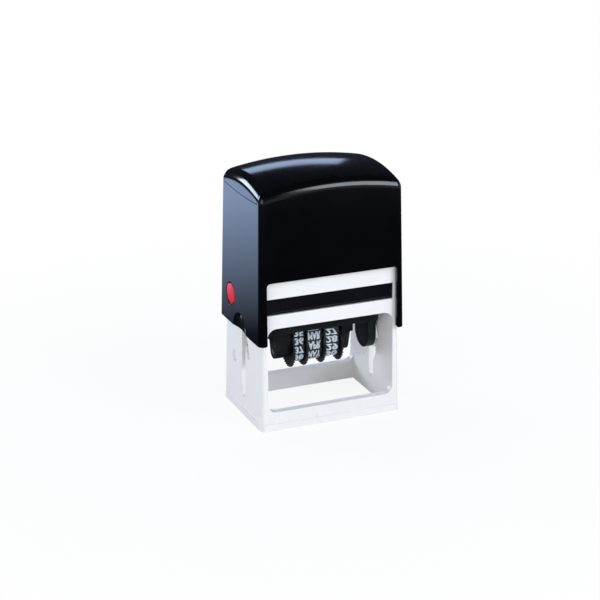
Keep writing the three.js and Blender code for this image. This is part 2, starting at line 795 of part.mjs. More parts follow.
function dateBand(index) {
  const left = wheelPlaces()[index] + flangeThickness + bandSideGap;
  const outer = prism(bandOutline(0), 'x', left, left + bandWidths[index]);
  const inner = prism(bandOutline(bandThickness), 'x', left - overrun, left + bandWidths[index] + overrun);
  return outer.subtract(inner);
}

// A thumb wheel: a notched flange, and the drum that its band runs on
function thumbFlange(left) {
  const rim = [];
  const steps = gripNotches * 4;
  for (let i = 0; i < steps; i++) {
    const angle = (2 * Math.PI * i) / steps;
    const radius = thumbRadius - (i % 4 === 0 ? gripDepth : 0);
    rim.push(new THREE.Vector2(radius * Math.cos(angle), -axleDrop + radius * Math.sin(angle)));
  }
  return prism(rim, 'x', left, left + flangeThickness);
}

function axleBore(left, right) {
  const outline = circle(0, -axleDrop, axleRadius + runGap, pinSteps);
  return prism(outline, 'x', left - overrun, right + overrun);
}

function dateWheel(index) {
  const left = wheelPlaces()[index];
  const right = left + flangeThickness + 2 * bandSideGap + bandWidths[index];
  const drum = circle(0, -axleDrop, bandRadius - bandThickness - runGap);
  const wheel = thumbFlange(left).add(prism(drum, 'x', left + flangeThickness / 2, right));
  return wheel.subtract(axleBore(left, right));
}

function endDisc() {
  const left = wheelPlaces().at(-1);
  const right = left + flangeThickness;
  const disc = prism(circle(0, -axleDrop, thumbRadius), 'x', left, right);
  return disc.subtract(axleBore(left, right));
}

// The spring's centre line: a helix between two short upright ends
function springLine() {
  const bottom = deckTop + runGap;
  const top = ceilingHeight - runGap;
  const leg = 2 * wireRadius;
  const steps = springTurns * stepsPerTurn;
  const points = [new THREE.Vector3(springRadius, 0, bottom)];
  for (let i = 0; i <= steps; i++) {
    const angle = (2 * Math.PI * i) / stepsPerTurn;
    const z = bottom + leg + ((top - bottom - 2 * leg) * i) / steps;
    points.push(new THREE.Vector3(springRadius * Math.cos(angle), springRadius * Math.sin(angle), z));
  }
  points.push(points.at(-1).clone().setZ(top));
  return points;
}

// The least gap between neighbouring turns of the wire
function springSelfGap(line) {
  let least = Infinity;
  for (let i = 0; i < line.length; i++) {
    for (let j = i + Math.floor(stepsPerTurn / 2); j < line.length; j++) {
      least = Math.min(least, line[i].distanceTo(line[j]));
    }
  }
  return least - 2 * wireRadius;
}

// One unbroken round wire along the line, its ring of points square to the line at every step
function returnSpring() {
  const line = springLine();
  console.log(`return_spring least gap to itself: ${springSelfGap(line).toFixed(2)} mm`);
  const rings = line.map((place, i) => {
    const before = line[Math.max(i - 1, 0)];
    const after = line[Math.min(i + 1, line.length - 1)];
    const along = after.clone().sub(before).normalize();
    const outward = new THREE.Vector3(place.x, place.y, 0).normalize();
    const across = new THREE.Vector3().crossVectors(along, outward).normalize();
    const ring = [];
    for (let k = 0; k < wireSides; k++) {
      const angle = (2 * Math.PI * k) / wireSides;
      ring.push(place.clone()
        .addScaledVector(outward, wireRadius * Math.cos(angle))
        .addScaledVector(across, wireRadius * Math.sin(angle)));
    }
    return ring;
  });
  return loft(rings, line[0], line.at(-1));
}

// The assembly: the platen's own group sits at the pivot, so it turns about its origin
const stamp = new THREE.Group();

const base = new THREE.Group();
base.add(piece('base_frame', baseFrame(), white));
base.add(piece('return_spring', returnSpring(), steel));

const cartridge = new THREE.Group();
cartridge.add(piece('pad_cartridge', padCartridge(), black));
cartridge.add(piece('ink_pad', inkPad(), felt));

const handle = new THREE.Group();
handle.add(piece('handle_shell', handleShell(), black));
handle.add(piece('top_cover', topCover(), black));
handle.add(piece('lock_button_left', lockButton(-1), red));
handle.add(piece('lock_button_right', lockButton(1), red));

const platen = new THREE.Group();
platen.position.z = pivotHeight;
platen.add(piece('platen_frame', platenFrame(), black));
platen.add(piece('pivot_pin_left', pivotPin(-1), steel));
platen.add(piece('pivot_pin_right', pivotPin(1), steel));
platen.add(piece('text_carrier', textCarrier(), black));
platen.add(piece('text_rubber', textRubber(), darkRubber));
platen.add(piece('band_frame', bandFrame(), black));
platen.add(piece('print_bridge', printBridge(), black));
platen.add(piece('band_axle', bandAxle(), steel));
platen.add(piece('end_disc', endDisc(), black));
bandNames.forEach((name, index) => {
  platen.add(piece(`band_${name}`, dateBand(index), darkRubber));
  platen.add(piece(`wheel_${name}`, dateWheel(index), black));
});

stamp.add(base, cartridge, handle, platen);

export default stamp;
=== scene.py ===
"""The looks of a self-inking date stamp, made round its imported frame.

Every piece is built in metres in the frame's own axes: +Z up, the front towards -Y, the foot's sole at zero.
"""

import json
import logging
import math
from collections.abc import Sequence
from dataclasses import dataclass, field
from enum import Enum

import bmesh
import bpy
from mathutils import Matrix, Vector


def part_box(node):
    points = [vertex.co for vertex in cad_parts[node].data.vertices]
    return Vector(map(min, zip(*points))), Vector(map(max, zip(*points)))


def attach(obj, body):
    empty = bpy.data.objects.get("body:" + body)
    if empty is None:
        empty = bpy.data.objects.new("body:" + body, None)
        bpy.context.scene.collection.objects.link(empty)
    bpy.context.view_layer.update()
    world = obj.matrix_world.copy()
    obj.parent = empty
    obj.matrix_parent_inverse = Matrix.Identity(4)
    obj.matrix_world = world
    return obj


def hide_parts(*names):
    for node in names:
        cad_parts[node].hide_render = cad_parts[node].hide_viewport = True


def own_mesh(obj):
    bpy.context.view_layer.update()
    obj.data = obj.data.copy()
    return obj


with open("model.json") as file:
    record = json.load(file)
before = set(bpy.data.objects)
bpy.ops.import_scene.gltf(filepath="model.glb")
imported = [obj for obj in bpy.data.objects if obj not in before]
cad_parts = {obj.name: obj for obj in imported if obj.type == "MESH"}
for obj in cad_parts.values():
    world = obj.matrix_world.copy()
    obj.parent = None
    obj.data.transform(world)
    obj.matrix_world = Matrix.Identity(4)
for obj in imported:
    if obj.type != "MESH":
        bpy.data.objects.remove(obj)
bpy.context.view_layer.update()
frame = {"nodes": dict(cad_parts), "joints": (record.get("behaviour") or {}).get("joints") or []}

MM = 0.001
QUARTER = math.pi / 2
LOG = logging.getLogger("date_stamp")
DUST_GREY = (0.55, 0.54, 0.52)
DUST_ROUGHNESS = 0.5

Outline = list[tuple[float, float]]
Colour = tuple[float, float, float]
Ring = Sequence[Vector]
Piece = bpy.types.Object
Socket = bpy.types.NodeSocket


class Axis(Enum):
    """The axis that an outline is drawn square to and run along."""

    X = "x"
    Y = "y"
    Z = "z"

    def place(self, u: float, v: float, along: float) -> Vector:
        """Puts a point of an outline in space.

        Args:
            u: The outline's first coordinate.
            v: Its second coordinate.
            along: The place on this axis.

        Returns:
            The point: X takes (y, z), Y takes (x, z) and Z takes (x, y).
        """
        return {
            Axis.X: Vector((along, u, v)),
            Axis.Y: Vector((u, along, v)),
            Axis.Z: Vector((u, v, along)),
        }[self]


class Boolean(Enum):
    """How a second solid changes the first."""

    CUT = "DIFFERENCE"
    JOIN = "UNION"
    COMMON = "INTERSECT"


def arc(u: float, v: float, radius: float, start: float, end: float, steps: int) -> Outline:
    """Gives the points of an arc, both ends included.

    Args:
        u: The centre's first coordinate.
        v: The centre's second coordinate.
        radius: The arc's radius.
        start: The first angle in radians.
        end: The last angle.
        steps: How many steps the arc is divided into.

    Returns:
        The points in order.
    """
    angles = [start + (end - start) * i / steps for i in range(steps + 1)]
    return [(u + radius * math.cos(a), v + radius * math.sin(a)) for a in angles]


def circle(u: float, v: float, radius: float, steps: int) -> Outline:
    """Gives a closed round outline.

    Args:
        u: The centre's first coordinate.
        v: The centre's second coordinate.
        radius: The radius.
        steps: The number of points.

    Returns:
        The points, the first one not repeated.
    """
    return arc(u, v, radius, 0, 2 * math.pi * (steps - 1) / steps, steps - 1)


def rectangle(left: float, bottom: float, right: float, top: float) -> Outline:
    """Gives the four corners of a rectangle.

    Args:
        left: Its low first coordinate.
        bottom: Its low second coordinate.
        right: Its high first coordinate.
        top: Its high second coordinate.

    Returns:
        The corners, counter-clockwise.
    """
    return [(left, bottom), (right, bottom), (right, top), (left, top)]


def rounded_rectangle(half_u: float, half_v: float, radius: float, steps: int, sides: int = 1) -> Outline:
    """Gives a centred rectangle with round corners.

    Args:
        half_u: Half of its first side.
        half_v: Half of its second side.
        radius: The corners' radius.
        steps: Steps in each corner.
        sides: Parts that each straight side is divided into.

    Returns:
        The points, counter-clockwise.
    """
    centres = [
        (half_u - radius, half_v - radius),
        (radius - half_u, half_v - radius),
        (radius - half_u, radius - half_v),
        (half_u - radius, radius - half_v),
    ]
    points: Outline = []
    for corner, (u, v) in enumerate(centres):
        points += arc(u, v, radius, corner * QUARTER, (corner + 1) * QUARTER, steps)
        after = centres[(corner + 1) % len(centres)]
        last = points[-1]
        for i in range(1, sides):
            share = i / sides
            points.append((last[0] + (after[0] - u) * share, last[1] + (after[1] - v) * share))
    return points


def hoop(x: float, centre: tuple[float, float], radius: float, steps: int) -> list[Vector]:
    """Gives a ring of points round a line along X.

    Args:
        x: Where the ring lies.
        centre: Its centre's y and z.
        radius: Its radius.
        steps: The number of points.

    Returns:
        The ring.
    """
    return [Axis.X.place(y, z, x) for y, z in circle(*centre, radius, steps)]


class Bench:
    """Where meshes are made, cut, joined and finished."""

    merge_reach = 0.002 * MM
    flat_angle = math.radians(0.05)
    kept_corners = 4

    @staticmethod
    def show(name: str, data: bpy.types.ID) -> Piece:
        """Links a new object to the scene.

        Args:
            name: The object's name.
            data: Its mesh, curve, lamp or camera.

        Returns:
            The object.
        """
        made = bpy.data.objects.new(name, data)
        bpy.context.scene.collection.objects.link(made)
        return made

    @staticmethod
    def keep(body: bmesh.types.BMesh, data: bpy.types.Mesh) -> None:
        """Writes a working mesh into its data and frees it.

        Args:
            body: The working mesh.
            data: Where it goes.
        """
        body.to_mesh(data)
        body.free()

    @staticmethod
    def mesh(name: str, points: Sequence[Vector], faces: Sequence[Sequence[int]]) -> Piece:
        """Makes an object from points and faces, with its faces turned outwards.

        Args:
            name: The object's name.
            points: The vertices.
            faces: Vertex numbers of each face.

        Returns:
            The object, linked to the scene.
        """
        data = bpy.data.meshes.new(name)
        data.from_pydata([tuple(p) for p in points], [], [tuple(f) for f in faces])
        body = bmesh.new()
        body.from_mesh(data)
        bmesh.ops.recalc_face_normals(body, faces=body.faces)
        Bench.keep(body, data)
        return Bench.show(name, data)

    @staticmethod
    def prism(name: str, outline: Outline, axis: Axis, start: float, end: float) -> Piece:
        """Runs an outline along an axis.

        Args:
            name: The object's name.
            outline: The closed outline.
            axis: The axis that it runs along.
            start: Where it begins.
            end: Where it ends.

        Returns:
            The solid.
        """
        count = len(outline)
        points = [axis.place(u, v, along) for along in (start, end) for u, v in outline]
        faces = [list(range(count)), list(range(count, 2 * count))]
        faces += [[i, (i + 1) % count, count + (i + 1) % count, count + i] for i in range(count)]
        return Bench.mesh(name, points, faces)

    @staticmethod
    def loft(name: str, rings: Sequence[Ring], ends: tuple[Vector, Vector] | None = None) -> Piece:
        """Runs a skin through rings of points and closes it.

        Args:
            name: The object's name.
            rings: Rings with equal counts of points.
            ends: The tips of the two end fans, or None for one flat face at each end.

        Returns:
            The solid.
        """
        count = len(rings[0])
        points = [p for ring in rings for p in ring]
        faces: list[list[int]] = []
        for low in range(0, count * (len(rings) - 1), count):
            for i in range(count):
                j = (i + 1) % count
                faces.append([low + i, low + j, low + count + j, low + count + i])
        last = count * (len(rings) - 1)
        if ends is None:
            faces += [list(range(count)), list(range(last, last + count))]
        else:
            for tip, low in zip(ends, (0, last)):
                points.append(tip)
                faces += [[len(points) - 1, low + i, low + (i + 1) % count] for i in range(count)]
        return Bench.mesh(name, points, faces)

    @staticmethod
    def lathe(name: str, profile: Outline, axis_z: float, steps: int) -> Piece:
        """Turns a profile round an axis along X.

        Args:
            name: The object's name.
            profile: Closed profile of (x, distance from the axis).
            axis_z: The axis's height.
            steps: The number of steps round the axis.

        Returns:
            The solid.
        """
        rings = []
        for i in range(steps):
            angle = 2 * math.pi * i / steps
            rings.append([Vector((x, r * math.cos(angle), axis_z + r * math.sin(angle))) for x, r in profile])
        count = len(profile)
        faces = []
        for i in range(steps):
            low, high = i * count, (i + 1) % steps * count
            for k in range(count):
                after = (k + 1) % count
                faces.append([low + k, low + after, high + after, high + k])
        return Bench.mesh(name, [p for ring in rings for p in ring], faces)

    @staticmethod
    def copy_of(node: str, name: str) -> Piece:
        """Copies a CAD node's solid, whose doubled corners are merged when it is softened.

        Args:
            node: The node's name.
            name: The copy's name.

        Returns:
            The copy.
        """
        data = frame["nodes"][node].data.copy()
        data.materials.clear()
        return Bench.show(name, data)

    @staticmethod
    def bake(piece: Piece) -> Piece:
        """Turns an object's modifiers into plain mesh.

        Args:
            piece: The object.

        Returns:
            The same object, without modifiers.
        """
        bpy.context.view_layer.update()
        graph = bpy.context.evaluated_depsgraph_get()
        data = bpy.data.meshes.new_from_object(
            piece.evaluated_get(graph), preserve_all_data_layers=True, depsgraph=graph
        )
        piece.modifiers.clear()
        piece.data = data
        data.name = piece.name
        return piece

    @staticmethod
    def combine(piece: Piece, how: Boolean, *tools: Piece) -> Piece:
        """Cuts, joins or intersects a solid with others, which are used up.

        Args:
            piece: The solid that is changed.
            how: What the others do to it.
            tools: The other solids.

        Returns:
            The changed solid.
        """
        for tool in tools:
            step = piece.modifiers.new("combine", "BOOLEAN")
            step.operation = how.value
            step.solver = "MANIFOLD"
            step.object = tool
        Bench.bake(piece)
        for tool in tools:
            bpy.data.objects.remove(tool)
        return piece

    @staticmethod
    def soften(piece: Piece, width: float, segments: int = 3, angle: float = 35) -> Piece:
        """Rounds the sharp edges and smooths the shading.

        Args:
            piece: The solid.
            width: The width of the rounded edge.
            segments: Faces across each edge.
            angle: The least angle in degrees that counts as an edge.

        Returns:
            The finished piece.
        """
        Bench.clean(piece)
        if width > 0:
            edge = piece.modifiers.new("edge", "BEVEL")
            edge.width = width
            edge.segments = segments
            edge.limit_method = "ANGLE"
            edge.angle_limit = math.radians(angle)
            edge.miter_outer = "MITER_ARC"
        piece.modifiers.new("shading", "WEIGHTED_NORMAL")
        split = piece.modifiers.new("split", "TRIANGULATE")
        split.min_vertices = Bench.kept_corners + 1
        split.keep_custom_normals = True
        return Bench.bake(piece)

    @staticmethod
    def clean(piece: Piece) -> None:
        """Merges doubled points, joins flat faces and sets smooth shading.

        Args:
            piece: The solid.
        """
        body = bmesh.new()
        body.from_mesh(piece.data)
        bmesh.ops.remove_doubles(body, verts=body.verts, dist=Bench.merge_reach)
        bmesh.ops.dissolve_limit(body, angle_limit=Bench.flat_angle, verts=body.verts, edges=body.edges)
        for face in body.faces:
            face.smooth = True
        Bench.keep(body, piece.data)


class Graph:
    """Adds nodes to one node tree and links them."""

    def __init__(self, tree: bpy.types.NodeTree) -> None:
        """Keeps the tree.

        Args:
            tree: The tree that grows.
        """
        self.tree = tree

    def add(self, kind: str, inputs: dict | None = None, **settings: object) -> bpy.types.Node:
        """Adds a node.

        Args:
            kind: The node's type name.
            inputs: Values or sockets by input name or number.
            settings: Properties of the node, set first.

        Returns:
            The node.
        """
        node = self.tree.nodes.new(kind)
        for key, value in settings.items():
            setattr(node, key, value)
        for key, value in (inputs or {}).items():
            if isinstance(value, Socket):
                self.tree.links.new(value, node.inputs[key])
            else:
                node.inputs[key].default_value = value
        return node

    def math(self, operation: str, *values: object) -> Socket:
        """Adds a sum on numbers.

        Args:
            operation: The name of the operation.
            values: Its numbers or sockets in order.

        Returns:
            The result's socket.
        """
        return self.add("ShaderNodeMath", dict(enumerate(values)), operation=operation).outputs[0]

    def vector(self, operation: str, *values: object, output: int = 0) -> Socket:
        """Adds a sum on vectors.

        Args:
            operation: The name of the operation.
            values: Its vectors or sockets in order.
            output: Which output is wanted, 1 for a number.

        Returns:
            The result's socket.
        """
        return self.add("ShaderNodeVectorMath", dict(enumerate(values)), operation=operation).outputs[output]

    def mix(self, share: object, first: object, second: object) -> Socket:
        """Mixes two colours.

        Args:
            share: How much of the second, a number or a socket.
            first: The first colour, with its alpha, or a socket.
            second: The second colour or a socket.

        Returns:
            The mixed colour's socket.
        """
        node = self.add("ShaderNodeMix", {0: share, 6: first, 7: second}, data_type="RGBA")
        return node.outputs[2]

    def spread(self, value: object, low: float, high: float, to_low: float, to_high: float) -> Socket:
        """Maps a range of numbers to another.

        Args:
            value: The socket.
            low: The start of its range.
            high: The end of its range.
            to_low: The start of the new range.
            to_high: The end of the new range.

        Returns:
            The mapped number's socket.
        """
        inputs = {0: value, 1: low, 2: high, 3: to_low, 4: to_high}
        return self.add("ShaderNodeMapRange", inputs).outputs[0]

    def mask(self, value: object, low: float, high: float) -> Socket:
        """Maps a range of numbers to 0 to 1.

        Args:
            value: The socket.
            low: What becomes 0.
            high: What becomes 1.

        Returns:
            The mask's socket.
        """
        return self.spread(value, low, high, 0.0, 1.0)

    def noise(self, scale: object, detail: float, distortion: float = 0.0) -> Socket:
        """Adds noise in the object's own coordinates.

        Args:
            scale: How fine it is, a number or a socket.
            detail: How many finer layers it has.
            distortion: How far it is bent.

        Returns:
            The noise's socket.
        """
        where = self.add("ShaderNodeTexCoord").outputs["Object"]
        inputs = {"Vector": where, "Scale": scale, "Detail": detail, "Distortion": distortion}
        return self.add("ShaderNodeTexNoise", inputs).outputs[0]

    def feed(self, node: bpy.types.Node, **sockets: Socket) -> None:
        """Links sockets to a node's inputs.

        Args:
            node: The node.
            sockets: The sockets by input name, with _ for a space.
        """
        for name, socket in sockets.items():
            self.tree.links.new(socket, node.inputs[name.replace("_", " ")])


class Effect(Enum):
    """The surface effects that several finishes share."""

    GRAIN = "moulded_grain"
    WEAR = "rubbed_edges"
    DUST = "settled_dust"
    STROKES = "drawn_lines"


class EffectShelf:
    """The node groups of the shared effects, each built once."""

    cloud_range = (0.3, 0.7)
    edge_samples = 6
    edge_range = (0.995, 0.9)
    break_range = (0.4, 0.65)
    up_range = (0.6, 1.0)
    speck_range = (0.56, 0.72)

    def __init__(self) -> None:
        """Builds all the groups."""
        self.groups = {
            Effect.GRAIN: self._grain(),
            Effect.WEAR: self._wear(),
            Effect.DUST: self._dust(),
            Effect.STROKES: self._strokes(),
        }

    @staticmethod
    def _start(
        effect: Effect, inputs: dict[str, float], outputs: Sequence[str]
    ) -> tuple[Graph, dict[str, Socket], bpy.types.Node]:
        """Starts a group with number sockets.

        Args:
            effect: The effect, whose value names the group.
            inputs: Input names and their defaults.
            outputs: Output names.

        Returns:
            The graph, the group's input sockets by name, and its output node.
        """
        tree = bpy.data.node_groups.new(effect.value, "ShaderNodeTree")
        for name, value in inputs.items():
            socket = tree.interface.new_socket(name=name, in_out="INPUT", socket_type="NodeSocketFloat")
            socket.default_value = value
        for name in outputs:
            tree.interface.new_socket(name=name, in_out="OUTPUT", socket_type="NodeSocketFloat")
        graph = Graph(tree)
        entry = graph.add("NodeGroupInput")
        return graph, {name: entry.outputs[name] for name in inputs}, graph.add("NodeGroupOutput")

    def _grain(self) -> bpy.types.NodeTree:
        """Fine moulded grain with slow cloudy variation.

        Returns:
            The group's tree.
        """
        sizes = {"Scale": 900.0, "Clouds": 40.0}
        graph, given, out = self._start(Effect.GRAIN, sizes, ("Height", "Variation"))
        clouds = graph.mask(graph.noise(given["Clouds"], 4.0), *self.cloud_range)
        graph.feed(out, Height=graph.noise(given["Scale"], 2.0), Variation=clouds)
        return graph.tree

    def _wear(self) -> bpy.types.NodeTree:
        """A mask of the edges that hands and paper rub.

        Returns:
            The group's tree.
        """
        graph, given, out = self._start(Effect.WEAR, {"Radius": 0.0005, "Breaks": 300.0}, ("Mask",))
        reach = {"Radius": given["Radius"]}
        rounded = graph.add("ShaderNodeBevel", reach, samples=self.edge_samples).outputs[0]
        straight = graph.add("ShaderNodeNewGeometry").outputs["Normal"]
        facing = graph.vector("DOT_PRODUCT", rounded, straight, output=1)
        edge = graph.mask(facing, *self.edge_range)
        broken = graph.mask(graph.noise(given["Breaks"], 3.0), *self.break_range)
        graph.feed(out, Mask=graph.math("MULTIPLY", edge, broken))
        return graph.tree

    def _dust(self) -> bpy.types.NodeTree:
        """A mask of faint dust on what faces up.

        Returns:
            The group's tree.
        """
        graph, given, out = self._start(Effect.DUST, {"Scale": 1400.0, "Amount": 0.3}, ("Mask",))
        normal = graph.add("ShaderNodeNewGeometry").outputs["Normal"]
        up = graph.add("ShaderNodeSeparateXYZ", {0: normal}).outputs[2]
        specks = graph.mask(graph.noise(given["Scale"], 3.0), *self.speck_range)
        fallen = graph.math("MULTIPLY", graph.mask(up, *self.up_range), specks)
        graph.feed(out, Mask=graph.math("MULTIPLY", fallen, given["Amount"]))
        return graph.tree

    def _strokes(self) -> bpy.types.NodeTree:
        """Fine lines left along X by turning or drawing metal.

        Returns:
            The group's tree.
        """
        graph, given, out = self._start(Effect.STROKES, {"Across": 6000.0, "Along": 150.0}, ("Height",))
        where = graph.add("ShaderNodeTexCoord").outputs["Object"]
        shares = {0: given["Across"], 1: given["Along"], 2: given["Along"]}
        stretch = graph.add("ShaderNodeCombineXYZ", shares).outputs[0]
        drawn = graph.vector("MULTIPLY", where, stretch)
        noise = graph.add("ShaderNodeTexNoise", {"Vector": drawn, "Scale": 1.0})
        graph.feed(out, Height=noise.outputs[0])
        return graph.tree

    def place(self, graph: Graph, effect: Effect, **values: float) -> bpy.types.Node:
        """Puts an effect into a material.

        Args:
            graph: The material's graph.
            effect: The effect.
            values: The group's inputs.

        Returns:
            The group's node.
        """
        node = graph.add("ShaderNodeGroup", node_tree=self.groups[effect])
        for name, value in values.items():
            node.inputs[name].default_value = value
        return node


def solid_colour(colour: Colour) -> tuple[float, float, float, float]:
    """Adds full alpha to a colour.

    Args:
        colour: Linear red, green and blue.

    Returns:
        The four values of a colour socket.
    """
    return (*colour, 1.0)


def surface(name: str, **constants: float) -> tuple[bpy.types.Material, Graph, bpy.types.Node]:
    """Starts a material with one Principled shader.

    Args:
        name: The material's name.
        constants: Values that are the same all over, by input name with _ for a space.

    Returns:
        The material, its graph and the shader.
    """
    material = bpy.data.materials.new(name)
    material.use_nodes = True
    graph = Graph(material.node_tree)
    shader = material.node_tree.nodes["Principled BSDF"]
    for key, value in constants.items():
        shader.inputs[key.replace("_", " ")].default_value = value
    return material, graph, shader


@dataclass(frozen=True)
class Plastic:
    """A moulded plastic or rubber finish."""

    name: str
    colour: Colour
    cloud: Colour
    roughness: tuple[float, float]
    specular: float
    grain_scale: float = 900.0
    grain_depth: float = 0.004 * MM
    clouds: float = 40.0
    worn: Colour = (0.5, 0.5, 0.5)
    wear: float = 0.3
    wear_radius: float = 0.5 * MM
    dust: float = 0.12

    def material(self, shelf: EffectShelf) -> bpy.types.Material:
        """Builds the finish.

        Args:
            shelf: The shared effects.

        Returns:
            The material.
        """
        made, graph, shader = surface(self.name, Specular_IOR_Level=self.specular)
        grain = shelf.place(graph, Effect.GRAIN, Scale=self.grain_scale, Clouds=self.clouds)
        wear = shelf.place(graph, Effect.WEAR, Radius=self.wear_radius)
        dust = shelf.place(graph, Effect.DUST, Amount=self.dust)
        variation = grain.outputs["Variation"]
        rubbed = graph.math("MULTIPLY", wear.outputs["Mask"], self.wear)
        body = graph.mix(variation, solid_colour(self.colour), solid_colour(self.cloud))
        edged = graph.mix(rubbed, body, solid_colour(self.worn))
        dusted = graph.mix(dust.outputs["Mask"], edged, solid_colour(DUST_GREY))
        rough = graph.spread(variation, 0.0, 1.0, *self.roughness)
        rough = graph.math("ADD", rough, graph.math("MULTIPLY", dust.outputs["Mask"], DUST_ROUGHNESS))
        raised = {"Height": grain.outputs["Height"], "Distance": self.grain_depth, "Strength": 1.0}
        bump = graph.add("ShaderNodeBump", raised)
        graph.feed(shader, Base_Color=dusted, Roughness=rough, Normal=bump.outputs[0])
        return made


@dataclass(frozen=True)
class Steel:
    """A bright turned or drawn steel."""

    name: str
    colour: Colour = (0.62, 0.63, 0.65)
    shade: Colour = (0.42, 0.43, 0.46)
    roughness: tuple[float, float] = (0.18, 0.34)
    grain_scale: float = 700.0
    clouds: float = 220.0
    line_depth: float = 0.003 * MM
    line_strength: float = 0.6

    def material(self, shelf: EffectShelf) -> bpy.types.Material:
        """Builds the finish.

        Args:
            shelf: The shared effects.

        Returns:
            The material.
        """
        made, graph, shader = surface(self.name, Metallic=1.0)
        grain = shelf.place(graph, Effect.GRAIN, Scale=self.grain_scale, Clouds=self.clouds)
        lines = shelf.place(graph, Effect.STROKES)
        colour = graph.mix(grain.outputs["Variation"], solid_colour(self.colour), solid_colour(self.shade))
        rough = graph.spread(grain.outputs["Variation"], 0.0, 1.0, *self.roughness)
        height = lines.outputs["Height"]
        raised = {"Height": height, "Distance": self.line_depth, "Strength": self.line_strength}
        bump = graph.add("ShaderNodeBump", raised)
        graph.feed(shader, Base_Color=colour, Roughness=rough, Normal=bump.outputs[0])
        return made


@dataclass(frozen=True)
class Felt:
    """Pressed felt, dark where ink has soaked in."""

    name: str
    dry: Colour = (0.06, 0.05, 0.12)
    soaked: Colour = (0.012, 0.010, 0.035)
    fibre_scale: float = 2600.0
    fibre_depth: float = 0.12 * MM
    fibre_layers: float = 6.0
    fibre_bend: float = 3.0
    clouds: float = 90.0
    sheen: float = 0.4
    roughness: float = 0.95

    def material(self, shelf: EffectShelf) -> bpy.types.Material:
        """Builds the finish.

        Args:
            shelf: The shared effects.

        Returns:
            The material.
        """
        made, graph, shader = surface(self.name, Sheen_Weight=self.sheen, Roughness=self.roughness)
        grain = shelf.place(graph, Effect.GRAIN, Scale=self.fibre_scale, Clouds=self.clouds)
        fibres = graph.noise(self.fibre_scale, self.fibre_layers, self.fibre_bend)
        colour = graph.mix(grain.outputs["Variation"], solid_colour(self.dry), solid_colour(self.soaked))
        raised = {"Height": fibres, "Distance": self.fibre_depth, "Strength": 1.0}
        bump = graph.add("ShaderNodeBump", raised)
        graph.feed(shader, Base_Color=colour, Normal=bump.outputs[0])
        return made


class Finish(Enum):
    """The stamp's finishes, named for what they cover."""

    HANDLE_BLACK = Plastic(
        "handle_black", (0.0006, 0.0006, 0.0010), (0.0010, 0.0010, 0.0016), (0.10, 0.16), 0.5,
        grain_scale=500.0, grain_depth=0.0006 * MM, worn=(0.03, 0.03, 0.04), wear=0.35, dust=0.006,
    )
    TRAY_BLACK = Plastic(
        "tray_black", (0.003, 0.003, 0.005), (0.006, 0.006, 0.009), (0.2, 0.32), 0.22,
        grain_depth=0.002 * MM, worn=(0.05, 0.05, 0.06), wear=0.5, dust=0.05,
    )
    BASE_WHITE = Plastic(
        "base_white", (0.87, 0.857, 0.838), (0.855, 0.843, 0.826), (0.26, 0.34), 0.5,
        grain_depth=0.001 * MM, worn=(0.90, 0.89, 0.88), wear=0.06, wear_radius=0.3 * MM, dust=0.01,
    )
    BUTTON_RED = Plastic(
        "button_red", (0.78, 0.020, 0.036), (0.66, 0.012, 0.026), (0.2, 0.3), 0.2,
        grain_depth=0.0015 * MM, worn=(0.8, 0.12, 0.15), wear=0.3, dust=0.02,
    )
    WORKS_BLACK = Plastic(
        "works_black", (0.004, 0.006, 0.007), (0.009, 0.013, 0.015), (0.3, 0.46), 0.35,
        worn=(0.06, 0.07, 0.075), wear=0.6, dust=0.1,
    )
    WHEEL_BLACK = Plastic(
        "wheel_black", (0.003, 0.003, 0.004), (0.008, 0.009, 0.010), (0.28, 0.4), 0.35,
        grain_depth=0.003 * MM, worn=(0.05, 0.055, 0.06), wear=0.6, dust=0.1,
    )
    BAND_RUBBER = Plastic(
        "band_rubber", (0.012, 0.022, 0.025), (0.028, 0.045, 0.050), (0.5, 0.7), 0.4,
        grain_scale=1600.0, grain_depth=0.012 * MM, clouds=260.0, worn=(0.12, 0.15, 0.16), wear=0.5,
    )
    TYPE_FACE = Plastic(
        "type_face", (0.74, 0.81, 0.85), (0.48, 0.56, 0.60), (0.45, 0.65), 0.4,
        grain_scale=1600.0, grain_depth=0.01 * MM, clouds=420.0, worn=(0.75, 0.8, 0.83), wear=0.4,
    )
    DIE_RUBBER = Plastic(
        "die_rubber", (0.085, 0.028, 0.026), (0.055, 0.018, 0.024), (0.5, 0.65), 0.4,
        grain_scale=1500.0, grain_depth=0.01 * MM, worn=(0.16, 0.07, 0.07), wear=0.5,
    )
    PIN_STEEL = Steel("pin_steel")
    SPRING_STEEL = Steel("spring_steel", roughness=(0.22, 0.4))
    PAD_FELT = Felt("pad_felt")


class Dresser:
    """Gives pieces their material and body, and hides the nodes that they stand for."""

    def __init__(self) -> None:
        """Builds every finish once."""
        shelf = EffectShelf()
        self.materials = {finish: finish.value.material(shelf) for finish in Finish}

    def dress(self, piece: Piece, finish: Finish, slot: str, body: str, *nodes: str) -> Piece:
        """Finishes one piece.

        Args:
            piece: The piece, in place.
            finish: Its finish.
            slot: The record's material slot, not used.
            body: The body that it rides on.
            nodes: The CAD nodes that it stands for.

        Returns:
            The piece.
        """
        piece.data.materials.clear()
        piece.data.materials.append(self.materials[finish])
        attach(piece, body)
        if nodes:
            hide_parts(*nodes)
        LOG.info("%s: %d faces, on %s", piece.name, len(piece.data.polygons), body)
        return piece


